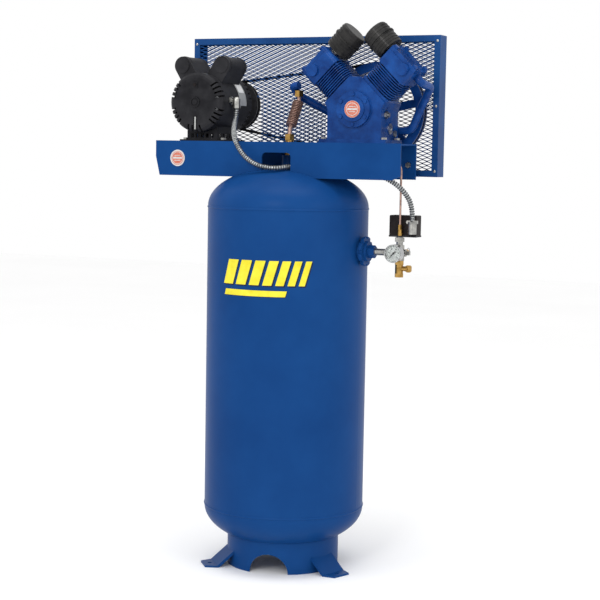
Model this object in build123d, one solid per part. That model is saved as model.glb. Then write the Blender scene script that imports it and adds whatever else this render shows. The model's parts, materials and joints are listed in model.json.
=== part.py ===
from build123d import *
import math
import os

# Vertical tank air compressor: a two-cylinder V pump and an electric motor on a deck above a
# standing air receiver, with a belt guard behind them and the air controls on the right.
# Units are millimetres. The origin is on the floor, on the tank's axis. The front is -Y, up is +Z.

os.makedirs("parts", exist_ok=True)

# ---------------------------------------------------------------- driving dimensions
# Air receiver
TANK_RADIUS = 254.0
TANK_WALL = 5.0
SHELL_BOTTOM = 189.0
SHELL_LENGTH = 954.0
HEAD_DEPTH = 127.0
SEAM_BEAD_RADIUS = 4.0
SEAM_BEAD_RISE = 2.0
COUPLING_RADIUS = 23.0
TOP_COUPLING_RISE = 34.0
DRAIN_COUPLING_DROP = 16.0
COUPLING_INSERT = 10.0
CHECK_THREAD_RADIUS = 13.0
DRAIN_THREAD_RADIUS = 9.0
PORT_HUB_RADIUS = 16.0
PORT_NECK_RADIUS = 34.0
PORT_NECK = 8.0
PORT_RIM_RADIUS = 46.0
PORT_RIM = 10.0
PORT_STEP = 8.0
PORT_SCALLOPS = 8
PORT_SCALLOP_RADIUS = 7.0
PORT_REACH = 46.0

# Base
SKIRT_RADIUS = 178.0
SKIRT_WALL = 4.0
ARCH_RADIUS = 62.0
FEET = 3
ARCH_AZIMUTH = 10.5
FOOT_TIP_RADIUS = 262.0
FOOT_BOLT_RADIUS = 240.0
FOOT_BOLT_HOLE = 14.0
FOOT_BEND_RADIUS = 226.0
FOOT_RISE = 52.0
FOOT_WIDTH = 92.0
FOOT_TIP_WIDTH = 64.0
FOOT_PLATE = 6.0
DRAIN_OUTLET_Z = 14.0
DRAIN_STEM_Z = 29.0
DRAIN_STEM_RADIUS = 3.0
DRAIN_BOSS_RADIUS = 6.0
DRAIN_BOSS_REACH = 18.0
DRAIN_WING = 16.0

# Deck
DECK_HEIGHT = 110.0
DECK_PLATE = 5.0
DECK_OVER_TANK = 74.0
DECK_FRONT = 111.0
DECK_BACK = 111.0
DECK_HALF_LENGTH = 386.0
APRON_HALF_LENGTH = 420.0
LEFT_CLIP_WIDTH = 14.0
LEFT_CLIP_HEIGHT = 60.0
RIGHT_CLIP_WIDTH = 26.0
RIGHT_CLIP_HEIGHT = 12.0
NOTCH_LEFT = -42.0
NOTCH_RIGHT = 57.0
NOTCH_DROP = 33.0
NOTCH_CORNER = 14.0
DECK_BOLT = 10.0
HEX_HEIGHT = 6.0
MOTOR_BOLT_HALF = 68.0
MOTOR_BOLT_ROWS = (-35.0, 60.0)
PUMP_BOLT_HALF = 101.0
PUMP_BOLT_ROWS = (-14.0, 94.0)
BADGE_X = -340.0

# Belt guard
GUARD_FRONT = 166.0
GUARD_DEPTH = 56.0
GUARD_HALF_LENGTH = 436.0
GUARD_HEIGHT = 442.0
GUARD_HANG = 101.0
GUARD_SHEET = 3.0
GUARD_FLANGE = 20.0
MESH_SHEET = 1.5
GUARD_GAP = 9.0
BRACKET_X = 362.0
BRACKET_DROP = 65.0
BRACKET_WIDTH = 34.0

# Drive
SHEAVE_PLANE = 192.0
FLYWHEEL_RADIUS = 157.0
FLYWHEEL_WIDTH = 32.0
FLYWHEEL_RIM = 28.0
FLYWHEEL_SPOKES = 6
SPOKE_WIDTH = 26.0
SPOKE_DEPTH = 14.0
FLYWHEEL_HUB_RADIUS = 34.0
PULLEY_HUB_RADIUS = 19.0
PULLEY_WEB = 8.0
PULLEY_RIM = 7.0
PULLEY_RADIUS = 80.0
PULLEY_WIDTH = 24.0
BELT_WIDTH = 12.0
BELT_THICKNESS = 8.0
BELT_SINK = 1.5
GROOVE_DEPTH = 13.0
BELT_SIDE_GAP = 0.5

# Motor
MOTOR_X = -285.0
SHAFT_OVER_DECK = 122.0
MOTOR_RADIUS = 93.0
MOTOR_WALL = 4.0
MOTOR_FRAME_FRONT = -55.0
MOTOR_FRAME_BACK = 80.0
BELL_LENGTH = 45.0
BELL_WALL = 5.0
BELL_SHOULDER = 34.0
BELL_ROUND = 16.0
BELL_SLOT_GROUPS = (12.0, 138.0, 196.0, 252.0, 314.0)
BELL_SLOTS = 4
BELL_SLOT_STEP = 10.0
BELL_SLOT_WIDTH = 6.0
BELL_SLOT_REACH = 20.0
BELL_SLOT_LENGTH = 27.0
HUB_RADIUS = 16.0
HUB_RISE = 4.0
HUB_GROOVE = 2.5
RESET_RISE = 54.0
RESET_RADIUS = 5.0
RESET_BOSS = 18.0
STATOR_FRONT = -30.0
STATOR_BACK = 55.0
STATOR_BORE = 55.0
COIL_RADIUS = 76.0
COIL_LENGTH = 16.0
AIR_GAP = 0.5
ROTOR_FIN_RADIUS = 44.0
ROTOR_FIN_LENGTH = 12.0
MOTOR_SHAFT_RADIUS = 8.0
MOTOR_BEARING_RADIUS = 20.0
MOTOR_BEARING_WIDTH = 12.0
CAN_RADIUS = 29.0
CAN_FRONT = -58.0
CAN_LENGTH = 120.0
CAN_SIDE = 70.0
CAN_RISE = 117.0
CAN_WALL = 1.5
CAPACITOR_RADIUS = 21.0
MOTOR_FOOT_HALF = 82.0
SADDLE_HALF = 54.0
SADDLE_WALL = 5.0
SADDLE_SLOT = 10.0
SADDLE_SLOT_LOW = 11.0
SADDLE_SLOT_HIGH = 24.0
RESET_TRAVEL = 3.0

# Pump
PUMP_X = 225.0
CRANK_OVER_DECK = 104.0
CASE_HALF_WIDTH = 90.0
CASE_FRONT = -14.0
CASE_BACK = 128.0
CASE_WALL = 8.0
CASE_BOSS_RADIUS = 42.0
GLASS_Y = 60.0
GLASS_RISE = 46.0
GLASS_RADIUS = 13.0
GLASS_RING = 3.0
FILL_Y = 20.0
FILL_RISE = 88.0
DRAIN_PLUG_Y = 97.0
DRAIN_PLUG_RISE = 32.0
PLUG_RADIUS = 8.0
CASE_FOOT_HALF = 112.0
CASE_FOOT_THICK = 12.0
BANK_START = 85.0
BANK_HALF = 56.0
BANK_STAGGER = 10.0
BANK_PLANE = 58.0
BORE_RADIUS = 40.0
STROKE = 56.0
BARREL_RADIUS = 47.0
BARREL_LENGTH = 83.0
FIN_PITCH = 7.5
FIN_THICKNESS = 2.6
VALVE_PLATE = 6.0
HEAD_BODY = 34.0
HEAD_FINS = 14.0
HEAD_FIN_COUNT = 9
HEAD_FIN_PITCH = 12.5
HEAD_FIN_THICKNESS = 4.0
PISTON_LENGTH = 40.0
PISTON_WALL = 6.0
PISTON_TOP_GAP = 1.0
RING_DEPTHS = (6.0, 11.0, 16.0)
RING_HEIGHT = 2.4
WRIST_PIN_DEPTH = 27.0
PIN_RADIUS = 8.0
JOURNAL_RADIUS = 15.0
CRANK_BEARING_RADIUS = 31.0
CRANK_BEARING_WIDTH = 16.0
CRANKPIN_RADIUS = 14.0
COUNTERWEIGHT_RADIUS = 54.0
WEB_THICKNESS = 12.0
WEB_HALF_SPAN = 34.0
HEAD_BOLT_SPREAD = 43.0
HEAD_BOLT = 9.0
PORT_RADIUS = 13.0
FILTER_RADIUS = 44.0
FILTER_LENGTH = 82.0
FILTER_NECK = 9.0
FILTER_RIBS = 7
COVER_RADIUS = 56.0
COVER_PLATE = 10.0
COVER_BOSS = 4.0
COVER_SPIGOT = 50.0
COVER_BOLTS = 6
COVER_BOLT_CIRCLE = 46.5
PUMP_SCREW = 6.0
BADGE_RADIUS = 26.0
BADGE_THICKNESS = 1.5

# Discharge line
PIPE_RADIUS = 13.0
COOLER_TUBE_RADIUS = 6.35
COOLER_FIN_RADIUS = 17.0
COOLER_FIN_PITCH = 6.0
COOLER_FIN_THICKNESS = 1.2
COOLER_NUT = 19.0
CHECK_NUT_RADIUS = 16.0
CHECK_NUT_RISE = 26.0
TEE_HALF_HEIGHT = 16.0

# Air controls
SIDE_PORT_Z = 1011.0
MANIFOLD_X = 380.0
MANIFOLD_RADIUS = 15.0
MANIFOLD_HALF_HEIGHT = 24.0
CROSS_REACH = 22.0
CROSS_BORE = 6.0
VALVE_LENGTH = 51.0
VALVE_STEM_DROP = 24.0
VALVE_STEM_RADIUS = 3.5
VALVE_OUTLET_RADIUS = 7.0
VALVE_OUTLET_DEPTH = 16.0
SAFETY_REACH = 40.0
SAFETY_STEM = 1.6
NIPPLE_RADIUS = 10.5
GAUGE_RADIUS = 28.0
GAUGE_DEPTH = 22.0
GAUGE_STANDOFF = 34.0
DIAL_DEPTH = 8.0
NEEDLE_PIN = 1.5
NEEDLE_REST = 225.0
SWITCH_LEFT = 353.0
SWITCH_WIDTH = 88.0
SWITCH_DEPTH = 48.0
SWITCH_HEIGHT = 66.0
SWITCH_PLATE = 5.0
SWITCH_WALL = 2.5
SWITCH_NIPPLE = 26.0
POWER_ENTRY_RADIUS = 11.0
POWER_ENTRY_INSET = 20.0
POWER_ENTRY_RISE = 49.0
LEVER_PIN = 3.0
LEVER_RISE = 30.0
UNLOADER_RADIUS = 3.2
UNLOADER_X = 394.0

# Wiring conduit
CONDUIT_RADIUS = 8.0
CONNECTOR_RADIUS = 13.0
CONNECTOR_REACH = 22.0
CONNECTOR_Y = -38.0
CONNECTOR_RISE = 7.0
CONNECTOR_SOCKET = 18.0
CLAMP_INSET = 6.5
CLAMP_REACH = 14.0
CLAMP_RISE = 46.0

# Clearances
RUNNING_FIT = 0.05
SLIDE_FIT = 0.06
FREE_GAP = 0.4
BOLT_CLEARANCE = 0.5
SCREW_CLEARANCE = 0.2

# ---------------------------------------------------------------- derived places
SEAM_LOW = SHELL_BOTTOM
SEAM_HIGH = SHELL_BOTTOM + SHELL_LENGTH
TANK_TOP = SEAM_HIGH + HEAD_DEPTH
TANK_LOWEST = SEAM_LOW - HEAD_DEPTH
DECK_TOP = TANK_TOP + DECK_OVER_TANK
DECK_UNDER = DECK_TOP - DECK_PLATE
DECK_BOTTOM = DECK_TOP - DECK_HEIGHT
GUARD_BOTTOM = DECK_TOP - GUARD_HANG
GUARD_BACK = GUARD_FRONT + GUARD_DEPTH
MOTOR_Z = DECK_TOP + SHAFT_OVER_DECK
MOTOR_FRONT = MOTOR_FRAME_FRONT - BELL_LENGTH
MOTOR_BACK = MOTOR_FRAME_BACK + BELL_LENGTH
CRANK_Z = DECK_TOP + CRANK_OVER_DECK
BARREL_TOP = BANK_START + BARREL_LENGTH
HEAD_START = BARREL_TOP + VALVE_PLATE
HEAD_TOP = HEAD_START + HEAD_BODY + HEAD_FINS
PORT_ALONG = HEAD_START + (HEAD_BODY + HEAD_FINS) / 2 - 1
DISCHARGE_TEE = Vector(3, BANK_PLANE, CRANK_Z + 76)
COOLER_TOP = DISCHARGE_TEE.Z - TEE_HALF_HEIGHT
CHECK_NUT_TOP = DECK_TOP + CHECK_NUT_RISE
UNLOADER_RUN_Z = TANK_TOP + TOP_COUPLING_RISE + 9.0
CRANK_BEARING_FRONT = CASE_FRONT - 6
CRANK_BEARING_BACK = CASE_BACK - CASE_WALL - 4
COVER_FACE = CASE_FRONT - COVER_PLATE - COVER_BOSS
WEB_FRONT = BANK_PLANE - WEB_HALF_SPAN
WEB_BACK = BANK_PLANE + WEB_HALF_SPAN
PISTON_MID_TOP = BARREL_TOP - PISTON_TOP_GAP - STROKE / 2
MANIFOLD_TOP = SIDE_PORT_Z + MANIFOLD_HALF_HEIGHT
SWITCH_BOTTOM = MANIFOLD_TOP + SWITCH_NIPPLE
SWITCH_TOP = SWITCH_BOTTOM + SWITCH_HEIGHT
SWITCH_X = SWITCH_LEFT + SWITCH_WIDTH / 2
SWITCH_FRONT = -SWITCH_DEPTH / 2
LEVER_Z = SWITCH_BOTTOM + LEVER_RISE
UNLOADER_Y = SWITCH_FRONT - 12.0
VALVE_TOP = SIDE_PORT_Z - MANIFOLD_HALF_HEIGHT
VALVE_STEM_Z = VALVE_TOP - VALVE_STEM_DROP
CONNECTOR_X = MOTOR_X + MOTOR_RADIUS + CONNECTOR_REACH
CONNECTOR_Z = MOTOR_Z + CONNECTOR_RISE
SWITCH_CONNECTOR_X = SWITCH_LEFT + SWITCH_WIDTH - CLAMP_INSET
SWITCH_CONNECTOR_Y = SWITCH_FRONT - CLAMP_REACH
K = math.sqrt(0.5)

FROM_BASE = (Align.CENTER, Align.CENTER, Align.MIN)
LEFT = -1
RIGHT = 1

MOTOR_BOLTS = [(MOTOR_X + side * MOTOR_BOLT_HALF, y) for side in (LEFT, RIGHT) for y in MOTOR_BOLT_ROWS]
PUMP_BOLTS = [(PUMP_X + side * PUMP_BOLT_HALF, y) for side in (LEFT, RIGHT) for y in PUMP_BOLT_ROWS]
BRACKET_BOLTS = [side * BRACKET_X for side in (LEFT, RIGHT)]

CONDUIT_ROUTE = [
    (CONNECTOR_X, CONNECTOR_Y, CONNECTOR_Z - CONNECTOR_SOCKET),
    (CONNECTOR_X, CONNECTOR_Y, 1430.0),
    (-167.0, -52.0, 1404.0),
    (-155.0, -84.0, 1381.0),
    (-128.0, -129.0, 1350.0),
    (-102.0, -142.0, 1314.0),
    (-72.0, -145.0, 1287.0),
    (-36.0, -143.0, 1269.0),
    (0.0, -139.0, 1263.5),
    (28.0, -128.0, 1264.0),
    (52.0, -92.0, 1270.0),
    (104.0, -89.0, 1272.0),
    (162.0, -92.0, 1271.0),
    (220.0, -93.0, 1267.0),
    (276.0, -91.0, 1261.0),
    (328.0, -86.0, 1252.0),
    (380.0, -74.0, 1232.0),
    (416.0, -56.0, 1198.0),
    (SWITCH_CONNECTOR_X, SWITCH_CONNECTOR_Y, 1154.0),
    (SWITCH_CONNECTOR_X, SWITCH_CONNECTOR_Y, SWITCH_BOTTOM + CLAMP_RISE),
]


# ---------------------------------------------------------------- shape helpers
def bar(start, direction, radius, length, bore=0.0):
    """Round bar from a point along a direction, hollow when it has a bore radius."""
    body = Cylinder(radius, length, align=FROM_BASE)
    if bore:
        body -= Cylinder(bore, length, align=FROM_BASE)
    return Plane(origin=start, z_dir=direction) * body


def hexagon(start, direction, radius, length, bore=0.0):
    """Hexagonal bar from a point along a direction; the radius is to its corners."""
    body = extrude(RegularPolygon(radius, 6), length)
    if bore:
        body -= Cylinder(bore, length, align=FROM_BASE)
    return Plane(origin=start, z_dir=direction) * body


def block(x, y, z):
    """Box between two values on each axis, given as pairs."""
    size = (x[1] - x[0], y[1] - y[0], z[1] - z[0])
    centre = ((x[0] + x[1]) / 2, (y[0] + y[1]) / 2, (z[0] + z[1]) / 2)
    return Pos(*centre) * Box(*size)


def slab(outline, front, back):
    """Solid with an outline drawn in X and Z, running in Y from front to back."""
    return extrude(Plane.XZ.offset(-back) * outline, back - front)


def group(*shapes):
    """Separate solids held in one node."""
    return Compound(children=[solid for shape in shapes for solid in shape.solids()])


def around(count, step, first=0.0):
    """Angles of a pattern, in degrees."""
    return [first + index * step for index in range(count)]


def round_tube(points, radii, radius):
    """Tube along straight runs joined by arcs."""
    route = FilletPolyline(*points, radius=radii)
    return sweep(Plane(origin=route @ 0, z_dir=route % 0) * Circle(radius), path=route)


def widest_arcs(points):
    """Arc radius at each corner of a route, as large as its two runs allow."""
    radii = []
    for before, corner, after in zip(points, points[1:], points[2:]):
        arriving = Vector(*corner) - Vector(*before)
        leaving = Vector(*after) - Vector(*corner)
        half_turn = math.radians(arriving.get_angle(leaving)) / 2
        radii.append(0.45 * min(arriving.length, leaving.length) / math.tan(half_turn))
    return radii


def ellipsoid_dome(radius, depth):
    """Solid half of a flattened ball, flat side on Z = 0 and crown up."""
    quarter = Ellipse(radius, depth) & Pos(radius / 2, depth / 2) * Rectangle(radius, depth)
    return revolve(Plane.XZ * quarter, Axis.Z)


def bank_plane(side):
    """Frame of one cylinder: Z out along the cylinder, Y towards the inside of the V."""
    return Plane(
        origin=(PUMP_X, BANK_PLANE - side * BANK_STAGGER, CRANK_Z),
        x_dir=(0, side, 0),
        z_dir=(side * K, 0, K),
    )


# ---------------------------------------------------------------- air receiver
def solid_top_head():
    return Pos(0, 0, SEAM_HIGH) * ellipsoid_dome(TANK_RADIUS, HEAD_DEPTH)


def solid_bottom_head():
    return Pos(0, 0, SEAM_LOW) * Rot(180, 0, 0) * ellipsoid_dome(TANK_RADIUS, HEAD_DEPTH)


def tank_shell():
    """Rolled shell with a weld bead at each end and one up its back."""
    inner = TANK_RADIUS - TANK_WALL
    shell = Pos(0, 0, SEAM_LOW) * Cylinder(TANK_RADIUS, SHELL_LENGTH, align=FROM_BASE)
    bead_circle = TANK_RADIUS - SEAM_BEAD_RADIUS + SEAM_BEAD_RISE
    for height in (SEAM_LOW + SEAM_BEAD_RADIUS, SEAM_HIGH - SEAM_BEAD_RADIUS):
        shell += Pos(0, 0, height) * Torus(bead_circle, SEAM_BEAD_RADIUS)
    seam_length = SHELL_LENGTH - 4 * SEAM_BEAD_RADIUS
    shell += Pos(0, bead_circle, SEAM_LOW + 2 * SEAM_BEAD_RADIUS) * Cylinder(
        SEAM_BEAD_RADIUS, seam_length, align=FROM_BASE
    )
    shell -= Pos(0, 0, SEAM_LOW) * Cylinder(inner, SHELL_LENGTH, align=FROM_BASE)
    shell -= bar((inner - TANK_WALL, 0, SIDE_PORT_Z), (1, 0, 0), PORT_HUB_RADIUS + FREE_GAP, 4 * TANK_WALL)
    return shell


def dished_head(dome, bore_radius):
    """Hollow head with a hole for the fitting in its crown."""
    hollow = ellipsoid_dome(TANK_RADIUS - TANK_WALL, HEAD_DEPTH - TANK_WALL)
    hole = Cylinder(bore_radius, 3 * HEAD_DEPTH)
    return dome - hollow - hole


def tank_top_head():
    wall = dished_head(ellipsoid_dome(TANK_RADIUS, HEAD_DEPTH), COUPLING_RADIUS)
    return Pos(0, 0, SEAM_HIGH) * wall


def tank_bottom_head():
    wall = dished_head(ellipsoid_dome(TANK_RADIUS, HEAD_DEPTH), COUPLING_RADIUS)
    return Pos(0, 0, SEAM_LOW) * Rot(180, 0, 0) * wall


def tank_couplings():
    """Threaded half couplings in the crown of each head, for the check valve and the drain."""
    top = bar((0, 0, TANK_TOP - COUPLING_INSERT), (0, 0, 1), COUPLING_RADIUS,
              COUPLING_INSERT + TOP_COUPLING_RISE, CHECK_THREAD_RADIUS)
    drain = bar((0, 0, TANK_LOWEST + COUPLING_INSERT), (0, 0, -1), COUPLING_RADIUS,
                COUPLING_INSERT + DRAIN_COUPLING_DROP, DRAIN_THREAD_RADIUS)
    return group(top, drain)


def tank_side_flange():
    """Round neck welded to the shell, a scalloped rim, a step and a hexagonal bushing."""
    axis = (1, 0, 0)
    neck_end = TANK_RADIUS + PORT_NECK
    neck = bar((TANK_RADIUS - TANK_WALL, 0, SIDE_PORT_Z), axis, PORT_NECK_RADIUS, TANK_WALL + PORT_NECK)
    rim = bar((neck_end, 0, SIDE_PORT_Z), axis, PORT_RIM_RADIUS, PORT_RIM)
    for angle in around(PORT_SCALLOPS, 360 / PORT_SCALLOPS):
        turn = math.radians(angle)
        notch_y = PORT_RIM_RADIUS * math.cos(turn)
        notch_z = SIDE_PORT_Z + PORT_RIM_RADIUS * math.sin(turn)
        rim -= bar((neck_end - 1, notch_y, notch_z), axis, PORT_SCALLOP_RADIUS, PORT_RIM + 2)
    step = bar((neck_end, 0, SIDE_PORT_Z), axis, (PORT_RIM_RADIUS + PORT_HUB_RADIUS) / 2, PORT_RIM + PORT_STEP)
    flange = (neck + rim + step) - Cylinder(TANK_RADIUS, 3 * SHELL_LENGTH)
    flange += bar((TANK_RADIUS - TANK_WALL, 0, SIDE_PORT_Z), axis, PORT_HUB_RADIUS, TANK_WALL + PORT_NECK)
    flange += hexagon((neck_end, 0, SIDE_PORT_Z), axis, PORT_HUB_RADIUS + 4, PORT_REACH - PORT_NECK)
    bore = bar((TANK_RADIUS - 2 * TANK_WALL, 0, SIDE_PORT_Z), axis, NIPPLE_RADIUS, 2 * PORT_REACH)
    return flange - bore


# ---------------------------------------------------------------- base
def base_skirt():
    """Ring that carries the tank, with three arches, cut to sit under the bottom head."""
    ring = Cylinder(SKIRT_RADIUS, SHELL_BOTTOM, align=FROM_BASE)
    ring -= Cylinder(SKIRT_RADIUS - SKIRT_WALL, SHELL_BOTTOM, align=FROM_BASE)
    ring -= solid_bottom_head()
    for azimuth in around(FEET, 360 / FEET, ARCH_AZIMUTH):
        arch = Rot(0, 0, azimuth) * bar((0, 0, 0), (0, -1, 0), ARCH_RADIUS, 2 * SKIRT_RADIUS)
        ring -= arch
    return ring


def one_foot():
    """Bent plate: it slopes down from the skirt to a flat pad, and narrows to its tip."""
    profile = Polyline(
        (SKIRT_RADIUS - 6, FOOT_RISE),
        (FOOT_BEND_RADIUS, FOOT_PLATE),
        (FOOT_TIP_RADIUS, FOOT_PLATE),
        (FOOT_TIP_RADIUS, 0),
        (FOOT_BEND_RADIUS - FOOT_PLATE, 0),
        (SKIRT_RADIUS - 6, FOOT_RISE - 2 * FOOT_PLATE),
        close=True,
    )
    plate = extrude(Plane.XZ * make_face(profile), FOOT_WIDTH / 2, both=True)
    plan = Polyline(
        (SKIRT_RADIUS - 20, -FOOT_WIDTH / 2),
        (FOOT_BEND_RADIUS, -FOOT_WIDTH / 2),
        (FOOT_TIP_RADIUS, -FOOT_TIP_WIDTH / 2),
        (FOOT_TIP_RADIUS, FOOT_TIP_WIDTH / 2),
        (FOOT_BEND_RADIUS, FOOT_WIDTH / 2),
        (SKIRT_RADIUS - 20, FOOT_WIDTH / 2),
        close=True,
    )
    plate &= extrude(make_face(plan), SHELL_BOTTOM)
    plate -= Cylinder(SKIRT_RADIUS, SHELL_BOTTOM, align=FROM_BASE)
    plate -= Pos(FOOT_BOLT_RADIUS, 0, 0) * Cylinder(FOOT_BOLT_HOLE / 2, 4 * FOOT_PLATE)
    return plate


def mounting_feet():
    """Feet midway between the arches."""
    first = ARCH_AZIMUTH - 90 + 180 / FEET
    return group(*[Rot(0, 0, azimuth) * one_foot() for azimuth in around(FEET, 360 / FEET, first)])


def drain_valve_body():
    """Brass drain cock screwed into the bottom coupling, with its stem boss to the front."""
    top = TANK_LOWEST - 2
    body = bar((0, 0, DRAIN_OUTLET_Z), (0, 0, 1), DRAIN_THREAD_RADIUS, top - DRAIN_OUTLET_Z)
    body += hexagon((0, 0, DRAIN_OUTLET_Z + 8), (0, 0, 1), 12, 14)
    body += bar((0, 0, DRAIN_STEM_Z), (0, -1, 0), DRAIN_BOSS_RADIUS, DRAIN_BOSS_REACH)
    bore = bar((0, 0, DRAIN_OUTLET_Z), (0, 0, 1), 4, top - DRAIN_OUTLET_Z)
    stem_bore = bar((0, -6, DRAIN_STEM_Z), (0, -1, 0), DRAIN_STEM_RADIUS + RUNNING_FIT, DRAIN_BOSS_REACH)
    return body - bore - stem_bore


def drain_valve_handle():
    """Wing handle on its stem."""
    stem = bar((0, -8, DRAIN_STEM_Z), (0, -1, 0), DRAIN_STEM_RADIUS, DRAIN_BOSS_REACH)
    front = 8 + DRAIN_BOSS_REACH
    wing_y = (-front, FREE_GAP - DRAIN_BOSS_REACH - 1)
    wing = block((-DRAIN_WING, DRAIN_WING), wing_y, (DRAIN_STEM_Z - 4, DRAIN_STEM_Z + 4))
    wing -= block((-5, 5), (-front, 2 - front), (DRAIN_STEM_Z - 5, DRAIN_STEM_Z + 5))
    return stem + wing


# ---------------------------------------------------------------- deck
def deck_channel():
    """Channel over the tank's crown: top, rear flange and a longer front apron with a notch."""
    top = block((-DECK_HALF_LENGTH, DECK_HALF_LENGTH), (-DECK_FRONT, DECK_BACK), (DECK_UNDER, DECK_TOP))
    rear = block((-DECK_HALF_LENGTH, DECK_HALF_LENGTH), (DECK_BACK - DECK_PLATE, DECK_BACK),
                 (DECK_BOTTOM, DECK_UNDER))
    outline = make_face(Polyline(
        (LEFT_CLIP_WIDTH - APRON_HALF_LENGTH, DECK_BOTTOM),
        (APRON_HALF_LENGTH - RIGHT_CLIP_WIDTH, DECK_BOTTOM),
        (APRON_HALF_LENGTH, DECK_BOTTOM + RIGHT_CLIP_HEIGHT),
        (APRON_HALF_LENGTH, DECK_TOP),
        (-APRON_HALF_LENGTH, DECK_TOP),
        (-APRON_HALF_LENGTH, DECK_BOTTOM + LEFT_CLIP_HEIGHT),
        close=True,
    ))
    notch_height = DECK_TOP - NOTCH_DROP - DECK_BOTTOM
    notch = Pos((NOTCH_LEFT + NOTCH_RIGHT) / 2, DECK_BOTTOM) * RectangleRounded(
        NOTCH_RIGHT - NOTCH_LEFT, 2 * notch_height, NOTCH_CORNER
    )
    apron = slab(outline - notch, -DECK_FRONT, DECK_PLATE - DECK_FRONT)
    deck = (top + rear + apron) - solid_top_head()
    deck -= Cylinder(CHECK_NUT_RADIUS + 4, 3 * TANK_TOP)
    for x, y in MOTOR_BOLTS + PUMP_BOLTS:
        deck -= Pos(x, y, DECK_TOP) * Cylinder(DECK_BOLT / 2 + BOLT_CLEARANCE, 4 * DECK_PLATE)
    for x in BRACKET_BOLTS:
        deck -= bar((x, DECK_BACK - 10, DECK_TOP - BRACKET_DROP), (0, 1, 0),
                    DECK_BOLT / 2 + BOLT_CLEARANCE, 20)
    return deck


def hex_bolt(seat, direction, grip):
    """Hexagon-head bolt: the head sits on the seat and the shank runs back by the grip."""
    back = Vector(*direction) * -grip
    start = Vector(*seat) + back
    return hexagon(seat, direction, DECK_BOLT * 0.95, HEX_HEIGHT) + bar(start, direction, DECK_BOLT / 2, grip)


def hex_bolts():
    """Bolts of the motor base, the pump feet and the guard brackets."""
    bolts = []
    for x, y in MOTOR_BOLTS:
        bolts.append(hex_bolt((x, y, DECK_TOP + DECK_PLATE), (0, 0, 1), 4 * DECK_PLATE))
    for x, y in PUMP_BOLTS:
        bolts.append(hex_bolt((x, y, DECK_TOP + CASE_FOOT_THICK), (0, 0, 1), CASE_FOOT_THICK + 3 * DECK_PLATE))
    for x in BRACKET_BOLTS:
        seat = (x, DECK_BACK - DECK_PLATE, DECK_TOP - BRACKET_DROP)
        bolts.append(hex_bolt(seat, (0, -1, 0), DECK_PLATE + 4 * GUARD_SHEET))
    return group(*bolts)


def round_badges():
    """Plain round badges: one on the apron's left end, one on the pump's front cover."""
    centre = (BADGE_X, -DECK_FRONT, DECK_TOP - DECK_HEIGHT / 2)
    apron = bar(centre, (0, -1, 0), BADGE_RADIUS, BADGE_THICKNESS)
    pump = bar((PUMP_X, COVER_FACE, CRANK_Z), (0, -1, 0), BADGE_RADIUS, BADGE_THICKNESS)
    return group(apron, pump)


# ---------------------------------------------------------------- belt guard
def guard_frame():
    """Channel frame round the belt, open front and back, with two brackets to the deck."""
    z = (GUARD_BOTTOM, GUARD_BOTTOM + GUARD_HEIGHT)
    x = (-GUARD_HALF_LENGTH, GUARD_HALF_LENGTH)
    frame = block(x, (GUARD_FRONT, GUARD_BACK), z)
    inner_x = (x[0] + GUARD_SHEET, x[1] - GUARD_SHEET)
    inner_z = (z[0] + GUARD_SHEET, z[1] - GUARD_SHEET)
    frame -= block(inner_x, (GUARD_FRONT + GUARD_SHEET, GUARD_BACK - GUARD_SHEET), inner_z)
    open_x = (x[0] + GUARD_FLANGE, x[1] - GUARD_FLANGE)
    open_z = (z[0] + GUARD_FLANGE, z[1] - GUARD_FLANGE)
    frame -= block(open_x, (GUARD_FRONT - 1, GUARD_BACK + 1), open_z)
    bolt_z = DECK_TOP - BRACKET_DROP
    for side in (LEFT, RIGHT):
        centre = side * BRACKET_X
        across = (centre - BRACKET_WIDTH / 2, centre + BRACKET_WIDTH / 2)
        foot_z = (GUARD_BOTTOM, bolt_z + 14)
        deck_flange = block(across, (DECK_BACK, DECK_BACK + GUARD_SHEET), foot_z)
        bridge = block(across, (DECK_BACK, GUARD_FRONT), (GUARD_BOTTOM, GUARD_BOTTOM + GUARD_SHEET))
        for x_bolt in BRACKET_BOLTS:
            deck_flange -= bar((x_bolt, DECK_BACK - 1, bolt_z), (0, 1, 0),
                               DECK_BOLT / 2 + BOLT_CLEARANCE, 2 * GUARD_SHEET)
        frame += deck_flange + bridge
    return frame


def guard_mesh_panels():
    """Rear panel, whole, and front panel, open round the flywheel, the motor shaft and the lower right."""
    half = GUARD_HALF_LENGTH - GUARD_SHEET - 1
    low = GUARD_BOTTOM + GUARD_SHEET + 1
    high = GUARD_BOTTOM + GUARD_HEIGHT - GUARD_SHEET - 1
    rear = block((-half, half), (GUARD_BACK - GUARD_SHEET - MESH_SHEET, GUARD_BACK - GUARD_SHEET), (low, high))
    front_y = (GUARD_FRONT + GUARD_SHEET, GUARD_FRONT + GUARD_SHEET + MESH_SHEET)
    front = block((-half, half), front_y, (low, high))
    through = (front_y[0] - 1, front_y[1] + 1)
    sweep_radius = FLYWHEEL_RADIUS + GUARD_GAP
    front -= bar((PUMP_X, through[0], CRANK_Z), (0, 1, 0), sweep_radius, through[1] - through[0])
    front -= block((PUMP_X, half + 1), through, (low - 1, CRANK_Z))
    front -= block((PUMP_X - sweep_radius, PUMP_X + 1), through, (low - 1, CRANK_Z))
    pulley_sweep = PULLEY_RADIUS + GUARD_GAP
    front -= bar((MOTOR_X, through[0], MOTOR_Z), (0, 1, 0), pulley_sweep, through[1] - through[0])
    front -= block((MOTOR_X - pulley_sweep, MOTOR_X + pulley_sweep), through, (low - 1, MOTOR_Z))
    return group(rear, front)


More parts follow.
